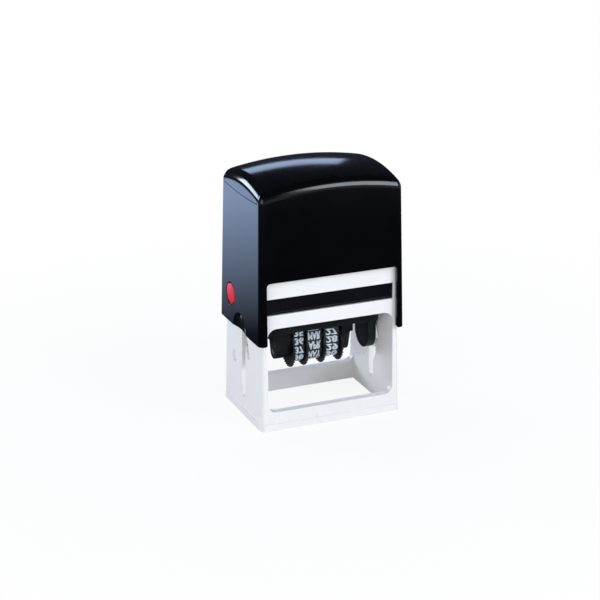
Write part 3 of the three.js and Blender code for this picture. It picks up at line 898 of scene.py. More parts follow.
class GrowTree:
    """A geometry node tree with named inputs, run on a piece and turned into plain mesh."""

    def __init__(self, name: str, **kinds: str) -> None:
        """Starts the tree.

        Args:
            name: The tree's name.
            kinds: What each input is, by its name: Float, Int or Object. Material is added to them.
        """
        self.tree = bpy.data.node_groups.new(name, "GeometryNodeTree")
        for label, kind in {"Geometry": "Geometry", **kinds, "Material": "Material"}.items():
            self.tree.interface.new_socket(name=label, in_out="INPUT", socket_type=f"NodeSocket{kind}")
        self.tree.interface.new_socket(name="Geometry", in_out="OUTPUT", socket_type="NodeSocketGeometry")
        self.graph = Graph(self.tree)
        self.given = self.graph.add("NodeGroupInput").outputs

    def close(self, geometry: Socket) -> None:
        """Ends the tree in real geometry with a material.

        Args:
            geometry: The last geometry socket.
        """
        real = self.graph.add("GeometryNodeRealizeInstances", {"Geometry": geometry}).outputs[0]
        parts = {"Geometry": real, "Material": self.given["Material"]}
        dressed = self.graph.add("GeometryNodeSetMaterial", parts).outputs[0]
        self.graph.feed(self.graph.add("NodeGroupOutput"), Geometry=dressed)

    def run(self, piece: Piece, **values: object) -> Piece:
        """Runs the tree on a piece.

        Args:
            piece: The object that the tree starts from.
            values: Inputs by name.

        Returns:
            The piece as plain mesh.
        """
        step = piece.modifiers.new(self.tree.name, "NODES")
        step.node_group = self.tree
        for item in self.tree.interface.items_tree:
            if item.in_out == "INPUT" and item.name in values:
                step[item.identifier] = values[item.name]
        return Bench.bake(piece)


@dataclass
class HandleCasing:
    """The black casing that is pressed down, and the cover on its top."""

    dresser: Dresser
    wall: float = 1.5 * MM
    corner: float = 3 * MM
    top_round: float = 5 * MM
    arch_drop: float = 4.2 * MM
    crown_drop: float = 3.8 * MM
    roof_rise: float = 10.3 * MM
    draft: tuple[float, float] = (1.4 * MM, 1.9 * MM)
    pillar: float = 4.4 * MM
    window_lip: float = 0.8 * MM
    window_corner: float = 2 * MM
    pillar_round: float = 1.2 * MM
    cover_thickness: float = 0.7 * MM
    cover_drop: float = 13.4 * MM
    cover_sag: float = 0.8 * MM
    seat_gap: float = 0.35 * MM
    dish_radius: float = 9.2 * MM
    dish_margin: float = 3.4 * MM
    dish_flare: float = 1.2
    dish_depth: float = 1.25 * MM
    dish_steps: int = 14
    dish_points: int = 64
    stud_radius: float = 6.2 * MM
    stud_length: float = 4 * MM
    button_room: float = 0.4 * MM
    button_rim: float = 0.4 * MM
    button_edge: float = 0.3 * MM
    button_dome: float = 0.5 * MM
    button_cap: float = 1.1 * MM
    button_stem: float = 3 * MM
    button_soft: float = 0.12 * MM
    button_soft_angle: float = 50
    overrun: float = 4 * MM
    edge: float = 0.3 * MM
    cover_edge: float = 0.24 * MM
    corner_steps: int = 12
    least_corner_part: int = 5
    cover_steps: int = 12
    side_parts: int = 30
    round_steps: int = 14
    crown_rings: int = 16
    pillar_steps: int = 8
    window_steps: int = 10
    hole_points: int = 48
    bore_points: int = 32
    rim_steps: int = 6
    dome_steps: int = 8

    def __post_init__(self) -> None:
        """Reads the casing's and its neighbours' places from the frame."""
        low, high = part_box("handle_shell")
        self.low_half = (high.x, high.y)
        self.bottom = low.z
        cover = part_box("top_cover")[1]
        self.cover_half = cover.y
        self.crown_top = cover.z
        self.shoulder = self.crown_top - self.arch_drop - self.top_round
        self.ceiling = self.crown_top - self.roof_rise
        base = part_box("base_frame")[1]
        self.base_side = base.x
        self.base_top = base.z
        low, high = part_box("pivot_pin_left")
        self.pivot = (low.z + high.z) / 2
        self.pin_radius = (high.z - low.z) / 2
        low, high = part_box("lock_button_right")
        self.button_centre = ((low.y + high.y) / 2, (low.z + high.z) / 2)
        self.button_radius = (high.z - low.z) / 2

    def half(self, z: float) -> tuple[float, float]:
        """Gives the casing's half width and half depth at a height.

        Args:
            z: The height.

        Returns:
            The two halves, with the draft taken off.
        """
        share = (z - self.bottom) / (self.shoulder - self.bottom)
        return tuple(low - draft * share for low, draft in zip(self.low_half, self.draft))

    def crown(self, x: float, y: float) -> float:
        """Gives the height of the crowned top.

        Args:
            x: Place along the width.
            y: Place along the depth.

        Returns:
            The height there.
        """
        half_x, half_y = self.half(self.shoulder)
        return self.crown_top - self.arch_drop * (x / half_x) ** 2 - self.crown_drop * (y / half_y) ** 2

    def form(self, name: str, inset: float) -> Piece:
        """Makes the casing's full outer form.

        Args:
            name: The object's name.
            inset: How far the form is drawn in.

        Returns:
            The solid.
        """
        top_x, top_y = self.half(self.shoulder)
        radius = self.top_round - inset

        def ring(z: float) -> list[Vector]:
            half_x, half_y = self.half(z)
            outline = rounded_rectangle(half_x - inset, half_y - inset, self.corner - inset,
                                        self.corner_steps, self.side_parts)
            return [Vector((x, y, z)) for x, y in outline]

        rings = [ring(self.bottom), ring((self.bottom + self.shoulder) / 2)]
        rim: Outline = []
        for i in range(self.round_steps + 1):
            angle = QUARTER * i / self.round_steps
            inward = inset + radius * (1 - math.cos(angle))
            corner = max(self.corner - inward, self.corner / self.least_corner_part)
            rim = rounded_rectangle(top_x - inward, top_y - inward, corner,
                                    self.corner_steps, self.side_parts)
            drop = inset + radius * (1 - math.sin(angle))
            rings.append([Vector((x, y, self.crown(x, y) - drop)) for x, y in rim])
        for i in range(self.crown_rings - 1, 0, -1):
            share = i / self.crown_rings
            level = [(x * share, y * share) for x, y in rim]
            rings.append([Vector((x, y, self.crown(x, y) - inset)) for x, y in level])
        return Bench.loft(name, rings, (Vector((0, 0, self.bottom)), Vector((0, 0, self.crown_top - inset))))

    def hollow(self) -> Piece:
        """Makes the space that the base slides into.

        Returns:
            The solid that is cut away.
        """
        rings = []
        for z in (self.bottom - self.overrun, self.ceiling):
            half_x, half_y = self.half(z)
            outline = rounded_rectangle(half_x - self.wall, half_y - self.wall, self.corner - self.wall,
                                        self.corner_steps)
            rings.append([Vector((x, y, z)) for x, y in outline])
        return Bench.loft("hollow", rings)

    def window(self) -> Piece:
        """Makes the cutter of the front and back opening.

        Returns:
            The cutter.
        """
        half = self.low_half[0] - self.pillar
        top = self.base_top - self.window_lip
        low = self.bottom
        foot, corner = self.pillar_round, self.window_corner
        right = [(half + foot, low - self.overrun)]
        right += arc(half + foot, low + foot, foot, -QUARTER, -math.pi, self.pillar_steps)
        right += arc(half - corner, top - corner, corner, 0, QUARTER, self.window_steps)
        left = [(-x, z) for x, z in reversed(right)]
        return Bench.prism("window", right + left, Axis.Y, -2 * self.low_half[1], 2 * self.low_half[1])

    def cover_zone(self, margin: float) -> Piece:
        """Makes the block that the cover is cut from.

        Args:
            margin: Room added round it.

        Returns:
            The block.
        """
        low = self.crown_top - self.cover_drop - margin
        half = self.cover_half + margin
        wide = 2 * self.low_half[0]
        high = self.crown_top + self.overrun
        outline = [(half, high), (-half, high)]
        shares = [i / self.cover_steps for i in range(-self.cover_steps, self.cover_steps + 1)]
        outline += [(half * share, low + self.cover_sag * share**2) for share in shares]
        return Bench.prism("cover_zone", outline, Axis.X, -wide, wide)

    def dish(self, side: int) -> Piece:
        """Makes the cutter of the shallow bowl round a pivot pin.

        Args:
            side: -1 for the left, 1 for the right.

        Returns:
            The cutter.
        """
        deepest = self.low_half[0] - self.dish_depth
        centre = self.pivot + self.dish_margin - self.dish_radius
        rings = []
        for i in range(1, self.dish_steps + 1):
            share = self.dish_flare * i / self.dish_steps
            x = side * (deepest + self.dish_depth * share**2)
            rings.append(hoop(x, (0, centre), self.dish_radius * share, self.dish_points))
        outer = side * (deepest + self.dish_depth * self.dish_flare**2)
        return Bench.loft("dish", rings, (Vector((side * deepest, 0, centre)), Vector((outer, 0, centre))))

    def button_hole(self, side: int) -> list[Piece]:
        """Makes the cutters of a lock button's hole and its bevelled rim.

        Args:
            side: -1 for the left, 1 for the right.

        Returns:
            The two cutters.
        """
        y, z = self.button_centre
        wall_x = self.half(z)[0]
        radius = self.button_radius + self.button_room
        hole = Bench.prism("button_hole", circle(y, z, radius, self.hole_points), Axis.X,
                           side * (wall_x - self.overrun), side * (wall_x + self.overrun))
        rings = []
        for grow in (0, 2 * self.button_rim):
            x = side * (wall_x - self.button_rim + grow)
            rings.append(hoop(x, self.button_centre, radius + grow, self.hole_points))
        return [hole, Bench.loft("button_rim", rings)]

    def casing(self) -> Piece:
        """Makes the casing.

        Returns:
            The dressed casing.
        """
        shell = self.form("handle_casing", 0)
        seat = Bench.combine(self.cover_zone(self.seat_gap), Boolean.CUT,
                             self.form("seat_floor", self.cover_thickness + self.seat_gap))
        Bench.combine(shell, Boolean.CUT, self.hollow(), self.window(), seat)
        stud = Bench.prism("stud", circle(0, 0, self.stud_radius, self.hole_points), Axis.Z,
                           self.ceiling - self.stud_length, self.ceiling + self.wall / 2)
        Bench.combine(shell, Boolean.JOIN, stud)
        for side in (-1, 1):
            Bench.combine(shell, Boolean.CUT, self.dish(side))
            room = circle(0, self.pivot, self.pin_radius + self.seat_gap, self.bore_points)
            bore = Bench.prism("bore", room, Axis.X, side * (self.base_side - self.overrun),
                               side * (self.base_side + 2 * self.overrun))
            Bench.combine(shell, Boolean.CUT, bore, *self.button_hole(side))
        Bench.soften(shell, self.edge)
        return self.dresser.dress(shell, Finish.HANDLE_BLACK, "black_plastic", "handle", "handle_shell")

    def top(self) -> Piece:
        """Makes the cover on the casing's top.

        Returns:
            The dressed cover.
        """
        lid = self.form("casing_cover", 0)
        Bench.combine(lid, Boolean.COMMON, self.cover_zone(0))
        Bench.combine(lid, Boolean.CUT, self.form("lid_floor", self.cover_thickness))
        Bench.soften(lid, self.cover_edge)
        return self.dresser.dress(lid, Finish.HANDLE_BLACK, "black_plastic", "handle", "top_cover")

    def button(self, side: int) -> Piece:
        """Makes a lock button with a domed face.

        Args:
            side: -1 for the left, 1 for the right.

        Returns:
            The dressed button.
        """
        label = "left" if side < 0 else "right"
        node = f"lock_button_{label}"
        low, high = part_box(node)
        face = max(abs(low.x), abs(high.x))
        stem_end = min(abs(low.x), abs(high.x))
        y, z = self.button_centre
        cap = face - self.button_cap
        shoulder = self.button_radius - self.button_edge
        round_x = face - self.button_dome - self.button_edge
        profile = [(stem_end, self.button_stem), (cap, self.button_stem), (cap, self.button_radius)]
        for i in range(self.rim_steps + 1):
            angle = QUARTER * i / self.rim_steps
            profile.append((round_x + self.button_edge * math.sin(angle),
                            shoulder + self.button_edge * math.cos(angle)))
        for i in range(self.dome_steps - 1, 0, -1):
            share = i / self.dome_steps
            profile.append((face - self.button_dome * share**2, shoulder * share))
        rings = [hoop(side * x, self.button_centre, radius, self.hole_points) for x, radius in profile]
        ends = (Vector((side * stem_end, y, z)), Vector((side * face, y, z)))
        made = Bench.loft(f"button_{label}", rings, ends)
        Bench.soften(made, self.button_soft, 2, self.button_soft_angle)
        return self.dresser.dress(made, Finish.BUTTON_RED, "red_plastic", f"{label}_button", node)

    def build(self) -> None:
        """Makes every piece of the handle."""
        self.casing()
        self.top()
        for side in (-1, 1):
            self.button(side)


@dataclass
class BaseAndPad:
    """The white base, the ink pad's tray and felt, and the return spring."""

    dresser: Dresser
    edge: float = 0.35 * MM
    tray_edge: float = 0.2 * MM
    felt_edge: float = 0.5 * MM
    wire: float = 0.6 * MM
    spring_radius: float = 8 * MM
    turns: float = 7.0
    even_share: float = 0.45
    coil_points: int = 421
    wire_sides: int = 14
    felt_parts: tuple[int, int, int] = (48, 28, 3)
    felt_edge_steps: int = 3
    felt_waves: tuple[float, float] = (900.0, 1100.0)
    felt_wave_depth: float = 0.06 * MM
    felt_fill: float = 0.8
    travel: float = field(init=False)

    def __post_init__(self) -> None:
        """Reads the handle's travel from the frame."""
        press = next(j for j in frame["joints"] if j["name"] == "handle_press")
        self.travel = -press["range_m"][0]

    def base(self) -> Piece:
        """Makes the base with soft edges.

        Returns:
            The dressed base.
        """
        made = Bench.soften(Bench.copy_of("base_frame", "base_housing"), self.edge)
        return self.dresser.dress(made, Finish.BASE_WHITE, "white_plastic", "base", "base_frame")

    def tray(self) -> Piece:
        """Makes the tray that holds the pad.

        Returns:
            The dressed tray.
        """
        made = Bench.soften(Bench.copy_of("pad_cartridge", "pad_tray"), self.tray_edge)
        return self.dresser.dress(made, Finish.TRAY_BLACK, "black_plastic", "cartridge", "pad_cartridge")

    def felt(self) -> Piece:
        """Makes the felt pad, with rounded and slightly uneven faces.

        Returns:
            The dressed pad.
        """
        low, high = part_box("ink_pad")
        step = [(high[k] - low[k]) / parts for k, parts in enumerate(self.felt_parts)]
        made = Bench.prism("felt_pad", rectangle(low.x, low.y, high.x, high.y), Axis.Z, low.z, high.z)
        body = bmesh.new()
        body.from_mesh(made.data)
        bmesh.ops.bevel(body, geom=body.edges[:], offset=self.felt_edge, segments=self.felt_edge_steps,
                        profile=0.5, affect="EDGES")
        for axis, parts in enumerate(self.felt_parts):
            for cut in range(1, parts):
                plane = Vector(low)
                plane[axis] += step[axis] * cut
                normal = Vector((0, 0, 0))
                normal[axis] = 1
                every = body.verts[:] + body.edges[:] + body.faces[:]
                bmesh.ops.bisect_plane(body, geom=every, plane_co=plane, plane_no=normal)
        for vert in body.verts:
            wave = math.sin(vert.co.x * self.felt_waves[0]) * math.sin(vert.co.y * self.felt_waves[1] + 1)
            if vert.co.z < low.z + step[2] / 2:
                vert.co.z += self.felt_wave_depth * (1 + wave)
        for face in body.faces:
            face.smooth = True
        Bench.keep(body, made.data)
        self.dresser.dress(made, Finish.PAD_FELT, "felt", "cartridge", "ink_pad")
        return made

    def spring(self) -> Piece:
        """Makes the coil spring, closed at both ends.

        Returns:
            The dressed spring.
        """
        low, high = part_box("return_spring")
        grow = GrowTree("coil_wire", Turns="Float", Radius="Float", Wire="Float", Low="Float", High="Float")
        graph, given = grow.graph, grow.given
        line = graph.add("GeometryNodeCurvePrimitiveLine", {"End": (0.0, 0.0, 1.0)}).outputs[0]
        fine = graph.add("GeometryNodeResampleCurve", {"Curve": line, "Count": self.coil_points}).outputs[0]
        share = graph.add("GeometryNodeSplineParameter").outputs["Factor"]
        angle = graph.math("MULTIPLY", share, graph.math("MULTIPLY", given["Turns"], 2 * math.pi))
        smooth = graph.add("ShaderNodeMapRange", {0: share}, interpolation_type="SMOOTHSTEP").outputs[0]
        eased = graph.math("ADD", graph.math("MULTIPLY", share, self.even_share),
                           graph.math("MULTIPLY", smooth, 1 - self.even_share))
        bottom = graph.math("ADD", given["Low"], given["Wire"])
        top = graph.math("SUBTRACT", given["High"], given["Wire"])
        rise = graph.math("ADD", bottom, graph.math("MULTIPLY", eased, graph.math("SUBTRACT", top, bottom)))
        place = graph.add("ShaderNodeCombineXYZ", {
            0: graph.math("MULTIPLY", given["Radius"], graph.math("COSINE", angle)),
            1: graph.math("MULTIPLY", given["Radius"], graph.math("SINE", angle)),
            2: rise,
        }).outputs[0]
        coil = graph.add("GeometryNodeSetPosition", {"Geometry": fine, "Position": place}).outputs[0]
        section = {"Resolution": self.wire_sides, "Radius": given["Wire"]}
        ring = graph.add("GeometryNodeCurvePrimitiveCircle", section).outputs[0]
        tube = graph.add("GeometryNodeCurveToMesh",
                         {"Curve": coil, "Profile Curve": ring, "Fill Caps": True}).outputs[0]
        grow.close(tube)
        seed = Bench.mesh("return_coil", [Vector((0, 0, low.z))], [])
        made = grow.run(seed, Turns=self.turns, Radius=self.spring_radius, Wire=self.wire,
                        Low=low.z, High=high.z, Material=self.dresser.materials[Finish.SPRING_STEEL])
        Bench.clean(made)
        self.dresser.dress(made, Finish.SPRING_STEEL, "spring_steel", "base", "return_spring")
        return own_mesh(made)

    def build(self) -> None:
        """Makes every piece of the base."""
        self.base()
        self.tray()
        self.felt()
        self.spring()


@dataclass(frozen=True)
class BandRows:
    """What one date band carries."""

    name: str
    rows: tuple[str, ...]
    height: float
    width_share: float


@dataclass
class DateWorks:
    """The platen that turns over, its text die, and the bands with their thumb wheels."""

    dresser: Dresser
    edge: float = 0.25 * MM
    fine_edge: float = 0.12 * MM
    band_corner: float = 1.5 * MM
    band_half_depth: float = 3.5 * MM
    type_height: float = 0.5 * MM
    type_root_share: float = 0.1
    type_weight: float = 0.03
    type_block: float = 0.5
    type_merge: float = 0.001 * MM
    type_steps: int = 3
    pin_dome: float = 0.8 * MM
    pin_dome_steps: int = 8
    pin_points: int = 40
    flange: float = 1.2 * MM
    rim_soft: float = 0.3 * MM
    drum_radius: float = 5.1 * MM
    grip_depth: float = 0.45 * MM
    grips: int = 30
    grip_sides: int = 10
    bore: float = 1.8 * MM
    wheel_steps: int = 96
    loop_steps: int = 24
    loop_corner_steps: int = 8

    def copied(self, node: str, name: str, finish: Finish, slot: str, width: float) -> Piece:
        """Makes a piece from the CAD node's own solid, with soft edges.

        Args:
            node: The node.
            name: The piece's name.
            finish: Its finish.
            slot: Its material slot.
            width: The width of its rounded edges.

        Returns:
            The dressed piece.
        """
        made = Bench.soften(Bench.copy_of(node, name), width)
        return self.dresser.dress(made, finish, slot, "platen", node)

    def wheel(self, grow: GrowTree, name: str, node: str, body: str) -> Piece:
        """Makes a thumb wheel or the end disc with its gripping rim.

        Args:
            grow: The tree that sets grips round a rim.
            name: The piece's name.
            node: The CAD node.
            body: The body that it rides on.

        Returns:
            The dressed wheel.
        """
        low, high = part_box(node)
        radius = (high.z - low.z) / 2
        axle = (high.z + low.z) / 2
        rim = radius - self.grip_depth
        soft, drum = self.rim_soft, self.drum_radius
        left, right = low.x, low.x + self.flange
        profile = [(left, self.bore), (left, rim - 3 * soft), (left + soft, rim - soft)]
        profile += [(left + 2 * soft, rim), (right - 2 * soft, rim)]
        profile += [(right - soft, rim - soft), (right, rim - 3 * soft)]
        if high.x > right + soft:
            profile += [(right, drum), (high.x, drum), (high.x, self.bore)]
        else:
            profile += [(right, self.bore)]
        made = Bench.lathe(name, profile, axle, self.wheel_steps)
        Bench.soften(made, self.fine_edge, 2)
        made = grow.run(made, Grips=self.grips, Rim=rim, Axle=axle, Left=left + soft / 2,
                        Right=right - soft / 2, Grip=self.grip_depth,
                        Material=self.dresser.materials[Finish.WHEEL_BLACK])
        return self.dresser.dress(made, Finish.WHEEL_BLACK, "mechanism_plastic", body, node)

    def grip_tree(self) -> GrowTree:
        """Builds the tree that sets rounded grips round a wheel's rim.

        Returns:
            The tree.
        """
        grow = GrowTree("thumb_grips", Grips="Int", Rim="Float", Axle="Float", Left="Float", Right="Float",
                        Grip="Float")
        graph, given = grow.graph, grow.given
        ring = graph.add("GeometryNodeMeshCircle",
                         {"Vertices": given["Grips"], "Radius": given["Rim"]}).outputs[0]
        middle = graph.math("MULTIPLY", graph.math("ADD", given["Left"], given["Right"]), 0.5)
        place = graph.add("ShaderNodeCombineXYZ", {0: middle, 2: given["Axle"]}).outputs[0]
        turned = graph.add("GeometryNodeTransform", {
            "Geometry": ring, "Rotation": (0.0, QUARTER, 0.0), "Translation": place,
        }).outputs[0]
        length = graph.math("SUBTRACT", given["Right"], given["Left"])
        section = {"Vertices": self.grip_sides, "Radius": given["Grip"], "Depth": length}
        bar = graph.add("GeometryNodeMeshCylinder", section).outputs["Mesh"]
        points = graph.add("GeometryNodeInstanceOnPoints",
                           {"Points": turned, "Instance": bar, "Rotation": (0.0, QUARTER, 0.0)}).outputs[0]
        real = graph.add("GeometryNodeRealizeInstances", {"Geometry": points}).outputs[0]
        join = graph.add("GeometryNodeJoinGeometry", {"Geometry": real})
        graph.feed(join, Geometry=given["Geometry"])
        grow.close(join.outputs[0])
        return grow

    def loop_path(self, node: str) -> Outline:
        """Works out a band's outer loop.

        Args:
            node: The band's CAD node.

        Returns:
            Closed points of (y, z), from the bottom up the back and down the front.
        """
        low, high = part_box(node)
        radius = high.y
        axle = low.z + radius
        corner_y = self.band_half_depth - self.band_corner
        corner_z = high.z - self.band_corner
        rise = math.hypot(corner_y, corner_z - axle)
        lean = math.atan2(corner_z - axle, corner_y)
        side = lean - math.acos((radius - self.band_corner) / rise)
        lower = arc(0, axle, radius, -QUARTER, side, self.loop_steps)
        upper = arc(corner_y, corner_z, self.band_corner, side, QUARTER, self.loop_corner_steps)
        half = lower + upper
        return half + [(-y, z) for y, z in reversed(half)][:-1]

    def type_tree(self) -> GrowTree:
        """Builds the tree that wraps a flat strip of type round a band's loop.

        Returns:
            The tree.
        """
        grow = GrowTree("wrapped_type", Loop="Object")
        graph, given = grow.graph, grow.given
        loop = graph.add("GeometryNodeObjectInfo", {"Object": given["Loop"]}).outputs["Geometry"]
        position = graph.add("GeometryNodeInputPosition").outputs[0]
        here = graph.add("ShaderNodeSeparateXYZ", {0: position}).outputs
        point = graph.add("GeometryNodeSampleCurve", {"Curves": loop, "Length": here[1]}, mode="LENGTH")
        outward = graph.vector("CROSS_PRODUCT", point.outputs["Tangent"], (1.0, 0.0, 0.0))
        lifted = graph.add("ShaderNodeVectorMath", {0: outward, 3: here[2]}, operation="SCALE").outputs[0]
        across = graph.add("ShaderNodeCombineXYZ", {0: here[0]}).outputs[0]
        place = graph.vector("ADD", graph.vector("ADD", point.outputs["Position"], lifted), across)
        moved = graph.add("GeometryNodeSetPosition", {"Geometry": given["Geometry"], "Position": place})
        grow.close(moved.outputs[0])
        return grow

    def strip(self, rows: BandRows, centre: float, width: float, length: float) -> Piece:
        """Lays a band's type out flat, mirrored as a stamp's type is.

        Args:
            rows: The rows of type.
            centre: The band's middle along X.
            width: The band's width.
            length: The loop's length.

        Returns:
            One mesh: X across the band, Y along it and Z above its face.
        """
        body = bmesh.new()
        pitch = length / len(rows.rows)
        for index, text in enumerate(rows.rows):
            font = bpy.data.curves.new("row", "FONT")
            font.body = text
            font.align_x = "CENTER"
            font.align_y = "CENTER"
            font.extrude = self.type_block
            font.offset = self.type_weight
            font.resolution_u = self.type_steps
            holder = Bench.show("row", font)
            bpy.context.view_layer.update()
            graph = bpy.context.evaluated_depsgraph_get()
            glyphs = bpy.data.meshes.new_from_object(holder.evaluated_get(graph))
            corners = [v.co for v in glyphs.vertices]
            low = Vector([min(c[k] for c in corners) for k in range(3)])
            high = Vector([max(c[k] for c in corners) for k in range(3)])
            size = high - low
            scale_x = width * rows.width_share / size.x
            scale_y = rows.height / size.y
            middle = (low + high) / 2
            scale_z = (1 + self.type_root_share) * self.type_height
            root = self.type_root_share * self.type_height
            for vert in glyphs.vertices:
                flat = vert.co - middle
                vert.co = Vector((centre + flat.x * scale_x, (index + 0.5) * pitch + flat.y * scale_y,
                                  (flat.z / size.z + 0.5) * scale_z - root))
            body.from_mesh(glyphs)
            bpy.data.objects.remove(holder)
            bpy.data.curves.remove(font)
            bpy.data.meshes.remove(glyphs)
        bmesh.ops.remove_doubles(body, verts=body.verts, dist=self.type_merge)
        bmesh.ops.recalc_face_normals(body, faces=body.faces)
        data = bpy.data.meshes.new("strip")
        Bench.keep(body, data)
        return Bench.show("strip", data)

    def band(self, grow: GrowTree, rows: BandRows) -> None:
        """Makes one date band and its raised type.

        Args:
            grow: The tree that wraps type round a loop.
            rows: What the band carries.
        """
        node = f"band_{rows.name}"
        low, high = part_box(node)
        self.copied(node, f"loop_{rows.name}", Finish.BAND_RUBBER, "band_rubber", self.fine_edge)
        path = self.loop_path(node)
        curve = bpy.data.curves.new("loop", "CURVE")
        curve.dimensions = "3D"
        spline = curve.splines.new("POLY")
        spline.points.add(len(path) - 1)
        for point, (y, z) in zip(spline.points, path):
            point.co = (0, y, z, 1)
        spline.use_cyclic_u = True
        holder = Bench.show("loop", curve)
        ends = path[1:] + path[:1]
        length = sum(math.dist(a, b) for a, b in zip(path, ends))
        strip = self.strip(rows, (low.x + high.x) / 2, high.x - low.x, length)
        strip.name = f"type_{rows.name}"
        made = grow.run(strip, Loop=holder, Material=self.dresser.materials[Finish.TYPE_FACE])
        bpy.data.objects.remove(holder)
        for face in made.data.polygons:
            face.use_smooth = False
        self.dresser.dress(made, Finish.TYPE_FACE, "band_rubber", "platen")

    def pin(self, label: str) -> Piece:
        """Makes a pivot pin with domed ends.

        Args:
            label: left or right.

        Returns:
            The dressed pin.
        """
        low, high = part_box(f"pivot_pin_{label}")
        radius = (high.z - low.z) / 2
        middle = (high.z + low.z) / 2
        angles = [QUARTER * i / self.pin_dome_steps for i in range(1, self.pin_dome_steps + 1)]
        dome = [(self.pin_dome * (1 - math.cos(a)), radius * math.sin(a)) for a in angles]
        profile = [(low.x + x, r) for x, r in dome] + [(high.x - x, r) for x, r in reversed(dome)]
        rings = [hoop(x, (0, middle), r, self.pin_points) for x, r in profile]
        made = Bench.loft(f"pin_{label}", rings, (Vector((low.x, 0, middle)), Vector((high.x, 0, middle))))
        Bench.soften(made, self.fine_edge / 2, 2)
        return self.dresser.dress(made, Finish.PIN_STEEL, "pin_steel", "platen", f"pivot_pin_{label}")

    def build(self) -> None:
        """Makes every piece of the turning part."""
        black = (Finish.WORKS_BLACK, "mechanism_plastic")
        for node, name, look, edge in (
            ("platen_frame", "platen_block", black, self.edge),
            ("text_carrier", "die_carrier", black, self.fine_edge),
            ("text_rubber", "die_rubber", (Finish.DIE_RUBBER, "die_rubber"), self.fine_edge),
            ("band_frame", "band_bracket", black, self.edge),
            ("print_bridge", "bridge_bar", black, self.fine_edge),
            ("band_axle", "axle_rod", (Finish.PIN_STEEL, "pin_steel"), self.fine_edge),
        ):
            self.copied(node, name, *look, edge)
        for label in ("left", "right"):
            self.pin(label)
        grips = self.grip_tree()
        self.wheel(grips, "disc_end", "end_disc", "platen")
        wrap = self.type_tree()
        months = ("JAN", "FEB", "MAR", "APR", "MAY", "JUN", "JUL", "AUG", "SEP", "OCT", "NOV", "DEC")
        for rows in (
            BandRows("year", tuple(str(n) for n in range(20, 40)), 3.7 * MM, 0.86),
            BandRows("month", months + months[:6], 4.2 * MM, 0.88),
            BandRows("day", tuple(str(n) for n in range(10, 32)), 3.5 * MM, 0.8),
        ):
            self.band(wrap, rows)
            self.wheel(grips, f"thumb_{rows.name}", f"wheel_{rows.name}", f"{rows.name}_wheel")


def aimed(place: Vector, aim: Vector) -> Matrix:
    """Works out where a lamp or a camera stands and how it is turned.

    Args:
        place: Where it stands.
        aim: What it points at.

    Returns:
        Its matrix.
    """
    turn = (aim - place).to_track_quat("-Z", "Y")
    return Matrix.Translation(place) @ turn.to_matrix().to_4x4()


@dataclass(frozen=True)
class Lamp:
    """One soft lamp of the studio."""

    name: str
    place: tuple[float, float, float]
    size: tuple[float, float]
    power: float
    colour: Colour
    aim: tuple[float, float, float] = (0.0, 0.0, 0.07)

    def build(self) -> None:
        """Puts the lamp in the scene."""
        light = bpy.data.lights.new(self.name, "AREA")
        light.shape = "RECTANGLE"
        light.size, light.size_y = self.size
        light.energy = self.power
        light.color = self.colour
        holder = Bench.show(self.name, light)
        holder.matrix_world = aimed(Vector(self.place), Vector(self.aim))
        holder.visible_camera = False


